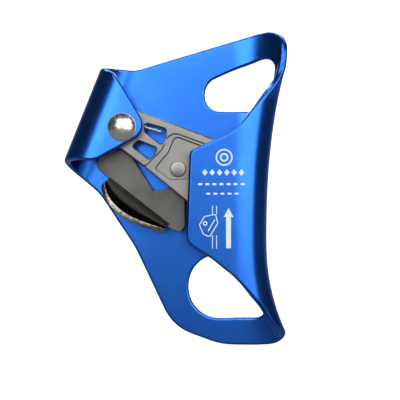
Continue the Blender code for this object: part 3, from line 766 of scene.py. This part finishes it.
def folded_normal(x, z, height, normal, step=SLOPE_STEP):
    """A normal of the flat sheet, carried through the folds."""
    along_x = (folded(x + step, z, height) - folded(x - step, z, height)) / (2 * step)
    along_z = (folded(x, z + step, height) - folded(x, z - step, height)) / (2 * step)
    through = along_z.cross(along_x).normalized()
    return (along_z.cross(through) * -normal.x + along_x.cross(through) * normal.y
            + through * normal.z * along_z.cross(along_x).length)


def smooth_run(points, steps=5):
    """Points of a smooth curve that passes through every given one."""
    run = []
    padded = [points[0]] + points + [points[-1]]
    for before, start, end, after in zip(padded, padded[1:], padded[2:], padded[3:]):
        for k in range(steps):
            t = k / steps
            weights = ((-t + 2 * t * t - t ** 3) / 2, (2 - 5 * t * t + 3 * t ** 3) / 2,
                       (t + 4 * t * t - 3 * t ** 3) / 2, (t ** 3 - t * t) / 2)
            run.append(tuple(sum(w * p[axis] for w, p in zip(weights, (before, start, end, after)))
                             for axis in (0, 1)))
    return [(x, z, 0) for x, z in run + [points[-1]]]


def past_fold(pairs):
    """Blank points given as a run beyond the fold line and a height."""
    return [(fold_line(z) + run, z) for run, z in pairs]


def frame_loops():
    """The flat blank: its outline, the two eyes and the two rivet holes."""
    right = FOLD_X
    upper_free_edge = smooth_run(past_fold([
        (45.0, 17.0), (40.7, 18.9), (34.6, 21.8), (30.7, 24.3), (28.0, 27.0), (26.0, 30.3), (23.4, 35.2),
        (21.2, 40.4), (19.8, 46.4), (19.6, 53.6), (19.7, 58.4), (18.6, 61.9), (15.8, 64.7), (11.9, 66.2),
        (8.0, 65.8), (3.5, 64.4), (0.0, 63.2)]))
    lower_free_edge = smooth_run(past_fold([
        (0.0, -66.9), (3.5, -66.8), (6.8, -66.1), (9.6, -64.5), (12.8, -62.2), (16.4, -59.9), (19.0, -57.2),
        (20.4, -53.7), (21.8, -49.6), (24.6, -45.0), (27.6, -40.4), (31.2, -36.4), (35.0, -33.3),
        (40.1, -29.2), (45.6, -25.7)]))
    outline = ([ear_corner(45.8, 2.75, 12), ear_corner(40.9, -13.8, 0),
                ear_corner(40.4, -24.0, 5), ear_corner(23.2, -46.3, 6.5), ear_corner(3.6, -30.2, 9),
                (-33.9, -2.0, 25), (-18.5, -25.2, 40), (-2.4, -59.2, 21), (18.3, -66.8, 30)]
               + lower_free_edge + [(right + 50.5, -22.4, 5), (right + 49.0, 15.4, 3.5)] + upper_free_edge)
    upper_eye = [(11.3, 32.8, 6.6), (11.3, 44.9, 7.6), (29.8, 53.2, 0), (40.4, 58.2, 4.5), (35.0, 32.8, 7)]
    lower_eye = [(4.6, -28.2, 13.0), (4.2, -55.0, 13.0), (19.0, -55.4, 20), (right + 7.0, -54.9, 4),
                 (right + 8.0, -28.6, 8)]
    ear_hole = on_ear(*PIVOT)
    hole = SHANK + GAP
    return [filleted(outline), filleted(upper_eye), filleted(lower_eye),
            circle(*PIVOT, hole), circle(ear_hole.x, ear_hole.y, hole)]


def cut(bm, point, normal, faces=None):
    chosen = set(faces if faces is not None else bm.faces)
    pieces = list(chosen)
    pieces += {edge for face in chosen for edge in face.edges}
    pieces += {vert for face in chosen for vert in face.verts}
    bmesh.ops.bisect_plane(bm, geom=pieces, dist=SNAP, plane_co=(point[0], point[1], 0.0),
                           plane_no=(normal[0], normal[1], 0.0))


def make_frame(look):
    bm, true_normal = flat_sheet(frame_loops(), PLATE, EDGE)
    for k in range(FOLD_STEPS + 1):
        run = -SOFT + (WRAP + 2 * SOFT) * k / FOLD_STEPS
        cut(bm, (FOLD_X + run, 0.0), (1.0, 0.0))
        cut(bm, ear_point(0.0, -run), EAR_ACROSS)
    for k in range(1, FOLD_ROWS):
        level = FRAME_BOTTOM + (FRAME_TOP - FRAME_BOTTOM) * k / FOLD_ROWS
        curl_faces = [face for face in bm.faces
                      if FOLD_X - SOFT < face.calc_center_median().x < FOLD_X + WRAP + SOFT]
        cut(bm, (0.0, level), (0.0, 1.0), curl_faces)
    bmesh.ops.triangulate(bm, faces=bm.faces)
    for vert in bm.verts:
        x, z, height = vert.co
        vert[true_normal] = folded_normal(x, z, height, vert[true_normal].copy())
        vert.co = folded(x, z, height) * MM
    return piece("frame_plate", [mesh_with_normals(bm, true_normal)], look, "frame", "frame")


# ---------------------------------------------------------------- rivets and washers

def make_main_rivet(look):
    seat = WALL_FRONT - GAP
    sphere = (DOME_RADIUS ** 2 + DOME_HEIGHT ** 2) / (2 * DOME_HEIGHT)
    spread = math.asin(DOME_RADIUS / sphere)
    crown = seat - 0.5 - DOME_HEIGHT + sphere
    swings = [spread * k / DOME_STEPS for k in range(DOME_STEPS + 1)]
    dome = [(sphere * math.sin(swing), crown - sphere * math.cos(swing)) for swing in swings]
    tail = GAP + TAIL_WASHER + GAP
    rest = rounded_profile([dome[-1], (DOME_RADIUS, seat), (SHANK, seat), (SHANK, tail), (TAIL_RADIUS, tail),
                            (TAIL_RADIUS, tail + 0.8), (TAIL_RADIUS - 1.0, tail + 1.7), (0, tail + 1.9)], 0.18)
    return piece("domed_rivet", [turned(dome[:-1] + rest, *PIVOT)], look, "frame", "main_rivet")


def make_rivet_washer(look):
    washer = ring(FRONT_BOSS_RADIUS, SHANK + GAP, GAP, GAP + TAIL_WASHER, *PIVOT)
    return piece("tail_washer", [washer], look, "frame", "rivet_washer")


def make_catch_rivet(look):
    seat = POCKET_FLOOR - GAP
    top = seat - 1.1
    profile = [(0, top), (CATCH_HEAD, top), (CATCH_HEAD, seat), (CATCH_SHANK, seat),
               (CATCH_SHANK, CATCH_TAIL), (CATCH_TAIL_RADIUS, CATCH_TAIL),
               (CATCH_TAIL_RADIUS, CATCH_TAIL + 0.7), (0, CATCH_TAIL + 1.1)]
    mesh = turned(rounded_profile(profile, 0.3), *CATCH_PIVOT)
    return piece("flat_rivet", [mesh], look, "cam", "catch_rivet")


# ---------------------------------------------------------------- cam

def face_point(angle, extra=0.0):
    radius = FACE_RADIUS * math.exp((angle - FACE_MIDDLE) * math.tan(FACE_PITCH)) + extra
    return Vector((PIVOT[0] + radius * math.cos(angle), PIVOT[1] - radius * math.sin(angle)))


def gripping_face():
    angles = [FACE_TOP + (FACE_END - FACE_TOP) * k / FACE_STEPS for k in range(FACE_STEPS + 1)]
    return [(point.x, point.y, 0) for point in map(face_point, angles)]


def cam_outline():
    return filleted([(-31.2, 37.6, 8.0), (28.0, 15.6, 3.0)] + gripping_face()
                    + [(20.0, -15.5, 5), (8.5, -9.4, 8), (-14.6, 9.2, 0), (-31.2, 21.6, 7.0)])


def web_outline():
    return filleted([(-31.0, 37.2, 7.8), (26.0, 16.0, 1.5), (24.0, 13.4, 1.0), (-3.0, 23.3, 4.0),
                     (-6.6, 15.6, 8), (-13.6, 8.6, 1.5), (-31.0, 21.9, 6.8)])


def cam_holes():
    upper = [(-14.0, 27.1, 1.4), (-4.9, 24.5, 1.4), (-5.2, 18.6, 1.4), (-7.4, 18.2, 1.2), (-14.0, 23.4, 1.4)]
    lower = [(-19.2, 17.2, 1.2), (-16.4, 19.7, 1.4), (-8.2, 16.4, 1.4), (-11.6, 11.4, 1.4)]
    return [filleted(upper), filleted(lower)]


def pocket_outline():
    return filleted([(-1.1, 21.3, 2.0), (12.5, 16.2, 1.5), (12.5, 8.0, 1.5), (3.4, 3.9, 1.5),
                     (-3.2, 3.6, 1.0), (-9.4, 8.2, 1.0), (-4.0, 14.4, 6)])


def thick_head_outline():
    return filleted([(10.6, 21.5, 1.5), (27.8, 15.3, 2.8)] + gripping_face()
                    + [(20.0, -15.3, 5), (10.6, -11.0, 2)])


def mud_slot():
    width, depth, height = MUD_SLOT
    angle = MUD_SLOT_ANGLE
    middle = face_point(angle)
    bm = bmesh.new()
    bmesh.ops.create_cube(bm, size=1.0)
    bm.transform(Matrix.Diagonal((2 * depth * MM, width * MM, height * MM, 1.0)))
    bm.transform(Matrix.Rotation(angle, 4, "Y"))
    bm.transform(Matrix.Translation(Vector((middle.x, (HEAD_FRONT + HEAD_BACK) / 2, middle.y)) * MM))
    return mesh_of(bm, "slot")


def cut_from(base, tool):
    """The base mesh less the tool mesh."""
    objects = []
    for mesh in (base, tool):
        obj = bpy.data.objects.new("work", mesh)
        bpy.context.scene.collection.objects.link(obj)
        objects.append(obj)
    step = objects[0].modifiers.new("step", "BOOLEAN")
    step.operation = "DIFFERENCE"
    step.object = objects[1]
    graph = bpy.context.evaluated_depsgraph_get()
    result = bpy.data.meshes.new_from_object(objects[0].evaluated_get(graph))
    for obj in objects:
        bpy.data.objects.remove(obj)
    return result


def gn_tree(name, inputs):
    tree = bpy.data.node_groups.new(name, "GeometryNodeTree")
    tree.interface.new_socket("Geometry", in_out="INPUT", socket_type="NodeSocketGeometry")
    sockets = {}
    for label, kind, value in inputs:
        socket = tree.interface.new_socket(label, in_out="INPUT", socket_type=kind)
        if value is not None:
            socket.default_value = value
        sockets[label] = socket.identifier
    tree.interface.new_socket("Geometry", in_out="OUTPUT", socket_type="NodeSocketGeometry")
    return tree, sockets, tree.nodes.new("NodeGroupInput"), tree.nodes.new("NodeGroupOutput")


def end_tree(tree, geometry_socket, ends, out):
    """Make the instances real, give them the finish and pass them on."""
    real = add(tree, "GeometryNodeRealizeInstances")
    tree.links.new(geometry_socket, real.inputs[0])
    coat = add(tree, "GeometryNodeSetMaterial")
    tree.links.new(real.outputs[0], coat.inputs["Geometry"])
    tree.links.new(ends.outputs["Finish"], coat.inputs["Material"])
    tree.links.new(coat.outputs[0], out.inputs[0])


def put_on_points(tree, count, place, instance):
    """An instance on each of a number of points, whose turn and scale are set by its own sockets."""
    points = add(tree, "GeometryNodePoints")
    tree.links.new(count, points.inputs["Count"])
    tree.links.new(place, points.inputs["Position"])
    spread = add(tree, "GeometryNodeInstanceOnPoints")
    tree.links.new(points.outputs[0], spread.inputs["Points"])
    tree.links.new(instance, spread.inputs["Instance"])
    return spread


def teeth_tree():
    """Rows of pointed teeth on the cam's spiral face, every other column half a row lower."""
    names = ["Pivot X", "Pivot Z", "Face Radius", "Pitch", "Start", "Span", "Rows", "Columns", "Middle Y",
             "Tooth Radius", "Tooth Height", "Lean"]
    tree, sockets, ends, out = gn_tree("teeth_on_face", [(n, FLOAT, 1.0) for n in names]
                                       + [("Finish", "NodeSocketMaterial", None)])
    value = {n: ends.outputs[n] for n in names}

    def calc(operation, one, two=None):
        return math_node(tree, operation, one, two)

    index = add(tree, "GeometryNodeInputIndex").outputs[0]
    row = calc("FLOOR", calc("DIVIDE", calc("ADD", index, 0.01), value["Columns"]))
    column = calc("SUBTRACT", index, calc("MULTIPLY", row, value["Columns"]))
    odd = calc("MODULO", column, 2.0)
    share = calc("DIVIDE", calc("ADD", row, calc("MULTIPLY", odd, 0.5)), value["Rows"])
    angle = calc("ADD", value["Start"], calc("MULTIPLY", share, value["Span"]))
    grow = calc("MULTIPLY", calc("SUBTRACT", angle, FACE_MIDDLE), calc("TANGENT", value["Pitch"]))
    radius = calc("SUBTRACT", calc("MULTIPLY", value["Face Radius"], calc("EXPONENT", grow)), 0.3 * MM)
    centred = calc("SUBTRACT", column, calc("MULTIPLY", calc("SUBTRACT", value["Columns"], 1.0), 0.5))
    side = calc("SIGN", centred)
    reach = calc("ADD", 1.1 * MM, calc("MULTIPLY", calc("ABSOLUTE", centred), 1.6 * MM))
    place = combine(tree, calc("ADD", value["Pivot X"], calc("MULTIPLY", radius, calc("COSINE", angle))),
                    calc("ADD", value["Middle Y"], calc("MULTIPLY", side, reach)),
                    calc("SUBTRACT", value["Pivot Z"], calc("MULTIPLY", radius, calc("SINE", angle))))
    cone = add(tree, "GeometryNodeMeshCone")
    cone.inputs["Vertices"].default_value = 16
    tree.links.new(calc("MULTIPLY", value["Tooth Radius"], 0.14), cone.inputs["Radius Top"])
    tree.links.new(value["Tooth Radius"], cone.inputs["Radius Bottom"])
    tree.links.new(calc("ADD", value["Tooth Height"], 0.3 * MM), cone.inputs["Depth"])
    turn = combine(tree, 0.0, calc("ADD", calc("ADD", angle, value["Lean"]), math.pi / 2), 0.0)
    count = calc("MULTIPLY", value["Rows"], value["Columns"])
    spread = put_on_points(tree, count, place, cone.outputs["Mesh"])
    tree.links.new(turn, spread.inputs["Rotation"])
    end_tree(tree, spread.outputs[0], ends, out)
    return tree, sockets


def grown(tree, sockets, values, base=None):
    """The plain mesh that a Geometry Nodes tree makes from an object's mesh or curve."""
    data = base or bpy.data.meshes.new("seed")
    carrier = bpy.data.objects.new("seed", data)
    bpy.context.scene.collection.objects.link(carrier)
    modifier = carrier.modifiers.new("grow", "NODES")
    modifier.node_group = tree
    for label, value in values.items():
        modifier[sockets[label]] = value
    graph = bpy.context.evaluated_depsgraph_get()
    mesh = bpy.data.meshes.new_from_object(carrier.evaluated_get(graph))
    carrier.modifiers.clear()
    bpy.data.objects.remove(carrier)
    return mesh


def cam_teeth(look):
    tree, sockets = teeth_tree()
    mesh = grown(tree, sockets, {
        "Pivot X": PIVOT[0] * MM, "Pivot Z": PIVOT[1] * MM, "Face Radius": FACE_RADIUS * MM,
        "Pitch": FACE_PITCH, "Start": TOOTH_START, "Span": TOOTH_SPAN, "Rows": float(TOOTH_ROWS),
        "Columns": float(TOOTH_COLUMNS), "Middle Y": (WALL_FRONT / 2) * MM, "Tooth Radius": TOOTH_RADIUS * MM,
        "Tooth Height": TOOTH_HEIGHT * MM, "Lean": TOOTH_LEAN, "Finish": look})
    return crisp(mesh)


def make_cam(look):
    """Layers of the casting, each a closed plate sunk a little into the next."""
    holes = cam_holes()
    outline = cam_outline()
    if signed_area(outline) < 0:
        outline.reverse()
    floor = slab([inset_loop(outline, 0.03)] + holes, POCKET_FLOOR, WEB_BACK, 0.35)
    rim = slab([outline, pocket_outline()] + holes, HEAD_FRONT, POCKET_FLOOR + 0.6, 0.6)
    web = slab([web_outline()] + holes, WEB_FRONT, HEAD_FRONT + 0.6, 0.55)
    head = slab([thick_head_outline()], HEAD_FRONT + 0.5, HEAD_BACK, 0.7)
    head = cut_from(head, mud_slot())
    bosses = [ring(FRONT_BOSS_RADIUS, BORE, BOSS_FRONT, WEB_FRONT + 1.0, *PIVOT),
              ring(REAR_BOSS_RADIUS, BORE, WEB_BACK - 0.5, BOSS_BACK, *PIVOT)]
    return piece("toothed_cam", [floor, rim, web, head, *bosses, cam_teeth(look)], look,
                 "cam", "cam")


# ---------------------------------------------------------------- catch

def catch_outline():
    return filleted([(-21.2, 16.2, 2.0), (-32.3, 16.0, 3.4), (-34.5, 8.6, 3.2), (-4.2, -16.4, 3.0),
                     (0.8, -18.9, 1.6), (3.0, -15.8, 1.4), (2.9, -5.2, 2.0), (8.4, -2.0, 3.0),
                     (8.2, 13.0, 5.0), (0.1, 15.2, 5.0), (-6.9, 12.0, 5.0), (-2.2, 0.2, 0.6),
                     (-10.4, -1.4, 0.8)])


def stop_slot():
    centre = Vector(CATCH_PIVOT)
    arm = Vector(STOP_PIN) - centre
    cos, sin = math.cos(-CATCH_TRAVEL), math.sin(-CATCH_TRAVEL)
    far = centre + Vector((arm.x * cos - arm.y * sin, arm.x * sin + arm.y * cos))
    near = Vector(STOP_PIN)
    side = (near - far).normalized()
    points = []
    for end, start in ((near, side), (far, -side)):
        for k in range(13):
            swing = math.pi * (k / 12 - 0.5)
            points.append(end + Vector((start.x * math.cos(swing) - start.y * math.sin(swing),
                                        start.x * math.sin(swing) + start.y * math.cos(swing)))
                          * (STOP_RADIUS + GAP))
    return points


def tab_section(share, sheet):
    """The tab's closed section (outward distance, y) with a round free edge."""
    bend = TAB_EDGE_OUT + TAB_BULGE * math.sin(math.pi * share ** 0.75)
    depth = TAB_DEPTH * (1 - 0.3 * abs(2 * share - 1) ** 3)
    middle = (CATCH_FRONT + CATCH_BACK) / 2
    half = sheet / 2
    inner, outer = [(-1.5, middle - half)], [(-1.5, middle + half)]
    for k in range(TAB_BEND_STEPS + 1):
        swing = math.pi / 2 * k / TAB_BEND_STEPS
        inner.append(((bend - half) * math.sin(swing), middle - bend + (bend - half) * math.cos(swing)))
        outer.append(((bend + half) * math.sin(swing), middle - bend + (bend + half) * math.cos(swing)))
    soft = 0.4
    for k in range(5):
        swing = math.pi / 2 * k / 4
        side, lip = soft * (1 - math.cos(swing)), middle - depth + soft * (1 - math.sin(swing))
        inner.append((bend - half + side, lip))
        outer.append((bend + half - side, lip))
    return inner + outer[::-1]


def thumb_tab():
    run = TAB_END - TAB_START
    outward = Vector((run.y, -run.x)).normalized()
    sheet = CATCH_BACK - CATCH_FRONT + 0.02
    bm = bmesh.new()
    edge_mask = bm.verts.layers.float.new("edge")
    rings = []
    for k in range(TAB_STATIONS):
        share = k / (TAB_STATIONS - 1)
        foot = TAB_START + run * share
        section = tab_section(share, sheet)
        rings.append([bm.verts.new(Vector((foot.x + outward.x * out, y, foot.y + outward.y * out)) * MM)
                      for out, y in section])
        # The free edge's mask carries the tab's painted highlight.
        lip = min(y for _, y in section)
        for vert, (_, y) in zip(rings[-1], section):
            vert[edge_mask] = 1.0 if y < lip + 0.3 else 0.0
    for one, two in zip(rings, rings[1:]):
        for k in range(len(one)):
            nxt = (k + 1) % len(one)
            bm.faces.new([one[k], one[nxt], two[nxt], two[k]])
    half = len(rings[0]) // 2
    for end in (rings[0], rings[-1]):
        for k in range(half - 1):
            bm.faces.new([end[k], end[k + 1], end[-2 - k], end[-1 - k]])
    bmesh.ops.recalc_face_normals(bm, faces=bm.faces)
    return crisp(mesh_of(bm, "tab"))


def make_catch(look, tab_material):
    bore = circle(*CATCH_PIVOT, CATCH_SHANK + GAP, 32)
    plate = slab([catch_outline(), bore, stop_slot()], CATCH_FRONT, CATCH_BACK, 0.35)
    piece("catch_plate", [plate], look, "catch", "catch")
    # The tab takes the near-black copy of the catch's steel: painted shade, with a painted highlight along its
    # free edge.
    tab = piece("thumb_tab", [thumb_tab()], tab_material, "catch", "catch")


# ---------------------------------------------------------------- springs

def wire_tree():
    """A round wire swept along a path."""
    tree, sockets, ends, out = gn_tree("wire_along_path", [("Radius", FLOAT, 0.001),
                                                           ("Finish", "NodeSocketMaterial", None)])
    round_section = add(tree, "GeometryNodeCurvePrimitiveCircle")
    round_section.inputs["Resolution"].default_value = 14
    tree.links.new(ends.outputs["Radius"], round_section.inputs["Radius"])
    sweep = add(tree, "GeometryNodeCurveToMesh")
    tree.links.new(ends.outputs["Geometry"], sweep.inputs["Curve"])
    tree.links.new(round_section.outputs["Curve"], sweep.inputs["Profile Curve"])
    sweep.inputs["Fill Caps"].default_value = True
    end_tree(tree, sweep.outputs[0], ends, out)
    return tree, sockets


WIRE = wire_tree()


def wire(path, radius, look):
    curve = bpy.data.curves.new("path", "CURVE")
    curve.dimensions = "3D"
    spline = curve.splines.new("POLY")
    spline.points.add(len(path) - 1)
    for point, place in zip(spline.points, path):
        point.co = (*(place * MM), 1.0)
    mesh = grown(*WIRE, {"Radius": radius * MM, "Finish": look}, curve)
    bm = bmesh.new()
    bm.from_mesh(mesh)
    bmesh.ops.remove_doubles(bm, verts=bm.verts, dist=0.00001)
    bmesh.ops.recalc_face_normals(bm, faces=bm.faces)
    bm.to_mesh(mesh)
    bm.free()
    return crisp(mesh, 50)


def coil(centre, radius, turns, start_angle, front, back):
    count = math.ceil(turns * COIL_STEPS)
    points = []
    for k in range(count + 1):
        angle = start_angle + 2 * math.pi * turns * k / count
        points.append(Vector((centre[0] + radius * math.cos(angle), front + (back - front) * k / count,
                              centre[1] + radius * math.sin(angle))))
    return points


def make_cam_spring(look):
    front, back = WEB_BACK + GAP + CAM_WIRE / 2, BACK_INNER - GAP - CAM_WIRE / 2
    turns = coil(PIVOT, CAM_COIL, CAM_TURNS, CAM_SPRING_START, front, back)
    front_leg = Vector((CAM_LEG_END[0], front, CAM_LEG_END[1]))
    end = CAM_SPRING_START + 2 * math.pi * CAM_TURNS
    rear_leg = turns[-1] + Vector((-math.sin(end), 0.0, math.cos(end))) * CAM_REAR_LEG
    mesh = wire([front_leg] + turns + [rear_leg], CAM_WIRE / 2, look)
    return piece("cam_return_spring", [mesh], look, "cam", "cam_spring")


def make_catch_spring(look):
    front, back = CATCH_BACK + GAP + CATCH_WIRE / 2, CATCH_TAIL - GAP - CATCH_WIRE / 2
    turns = coil(CATCH_PIVOT, CATCH_COIL, CATCH_TURNS, CATCH_SPRING_START, front, back)
    front_leg = turns[0] + CATCH_LEG
    end = CATCH_SPRING_START + 2 * math.pi * CATCH_TURNS
    rear_leg = turns[-1] + Vector((-math.sin(end), 0.0, math.cos(end))) * CATCH_REAR_LEG
    mesh = wire([front_leg] + turns + [rear_leg], CATCH_WIRE / 2, look)
    return piece("catch_return_spring", [mesh], look, "cam", "catch_spring")


# ---------------------------------------------------------------- marks on the flap

def flap_dip(x, z):
    """How far the flap's front face falls back from flat, towards the fold."""
    return folded(2 * FOLD_X + WRAP - x, z, PLATE / 2).y - WALL_FRONT


def laid_on_flap(mesh):
    """Sink a flat mark onto the flap's slightly curved face."""
    for vert in mesh.vertices:
        vert.co.y += flap_dip(vert.co.x / MM, vert.co.z / MM) * MM
    return mesh


def mark(*loops):
    """A thin flat mark whose first loop is its outline and whose others are holes."""
    return laid_on_flap(slab(list(loops), WALL_FRONT - INK, WALL_FRONT + INK_FOOT, INK / 2))


def stroke(start, end, width):
    """A straight mark with round ends."""
    start, end = Vector(start), Vector(end)
    side = (end - start).normalized().orthogonal() * width / 2
    back = (start - end).normalized() * width / 2
    corners = [start + back + side, start + back - side, end - back - side, end - back + side]
    return mark(filleted([(p.x, p.y, width * 0.45) for p in corners], math.radians(20)))


def mark_row_tree():
    """A level row of equal marks: four corners make diamonds, more make rounded dashes."""
    names = ["First X", "Pitch", "Level Z", "Front Y", "Width", "Height", "Depth"]
    tree, sockets, ends, out = gn_tree("row_of_marks", [(n, FLOAT, 1.0) for n in names]
                                       + [("Count", "NodeSocketInt", 4), ("Corners", "NodeSocketInt", 4),
                                          ("Finish", "NodeSocketMaterial", None)])
    value = ends.outputs
    index = add(tree, "GeometryNodeInputIndex").outputs[0]
    across = math_node(tree, "ADD", value["First X"], math_node(tree, "MULTIPLY", index, value["Pitch"]))
    middle = math_node(tree, "ADD", value["Front Y"], math_node(tree, "MULTIPLY", value["Depth"], 0.5))
    blank = add(tree, "GeometryNodeMeshCylinder")
    tree.links.new(value["Corners"], blank.inputs["Vertices"])
    blank.inputs["Radius"].default_value = 0.5
    blank.inputs["Depth"].default_value = 1.0
    place = combine(tree, across, middle, value["Level Z"])
    spread = put_on_points(tree, value["Count"], place, blank.outputs["Mesh"])
    spread.inputs["Rotation"].default_value = (math.pi / 2, 0.0, 0.0)
    size = combine(tree, value["Width"], value["Height"], value["Depth"])
    tree.links.new(size, spread.inputs["Scale"])
    end_tree(tree, spread.outputs[0], ends, out)
    return tree, sockets


def mark_row(tree, first, pitch, level, width, height, count, corners, look):
    mesh = grown(*tree, {"First X": first * MM, "Pitch": pitch * MM, "Level Z": level * MM,
                         "Front Y": (WALL_FRONT - INK) * MM, "Width": width * MM, "Height": height * MM,
                         "Depth": (INK + INK_FOOT) * MM, "Count": count, "Corners": corners,
                         "Finish": look})
    return laid_on_flap(mesh)


def make_marks(look):
    """Two rings, a row of diamonds, two dashed lines, a rope through a clamp, and an arrow that points up."""
    rings = [mark(circle(19.1, 12.5, 3.5), circle(19.1, 12.5, 2.85)),
             mark(circle(19.1, 12.5, 1.75), circle(19.1, 12.5, 1.05))]
    row = mark_row_tree()
    rows = [mark_row(row, 11.2, 3.0, 6.3, 2.3, 2.7, 6, 4, look),
            mark_row(row, 9.3, 2.9, 1.5, 1.9, 0.95, 7, 20, look),
            mark_row(row, 12.6, 2.9, -2.4, 1.9, 0.85, 5, 20, look)]
    arrow = mark([Vector(p) for p in ((20.9, -8.3), (18.85, -12.0), (19.87, -12.0), (19.87, -24.8),
                                      (21.93, -24.8), (21.93, -12.0), (22.95, -12.0))])
    clamp_corners = [(8.7, -15.2), (10.9, -11.6), (15.8, -10.6), (16.7, -14.6), (13.2, -20.4), (10.4, -19.2)]
    outer = filleted([(x, z, 1.1) for x, z in clamp_corners])
    clamp = mark(outer, inset_loop(outer if signed_area(outer) > 0 else outer[::-1], 0.42))
    pin = mark(circle(11.3, -14.6, 0.95, 32), circle(11.3, -14.6, 0.5, 32))
    jaw = stroke((12.6, -17.6), (15.2, -13.2), 0.42)
    ropes = [stroke((x, top), (x, top - run), 0.36) for x in (14.3, 16.0)
             for top, run in ((-7.5, 3.2), (-19.6, 5.2))]
    return piece("flap_marks", rings + rows + [arrow, clamp, pin, jaw] + ropes, look, "frame")


# ---------------------------------------------------------------- build

def coat_node(name, look):
    """Give a CAD node that stays a finished material."""
    node = frame["nodes"][name]
    for slot in node.material_slots:
        slot.material = look


def main():
    make_camera()
    make_studio()
    make_sweep()
    blue = blue_anodised()
    polished = polished_steel()
    plain = plain_steel()
    cast = cast_steel()
    dark = dark_steel()
    bronze = bush_bronze()
    spring = spring_steel()
    make_frame(blue)
    make_marks(marking_white())
    make_main_rivet(polished)
    make_rivet_washer(plain)
    make_cam(cast)
    make_catch(dark, tab_painted_shade_and_highlight())
    make_catch_rivet(plain)
    make_cam_spring(spring)
    make_catch_spring(spring)
    coat_node("cam_bush", bronze)
    for name in ("front_thrust_washer", "rear_thrust_washer", "catch_washer", "stop_pin"):
        coat_node(name, plain)


main()
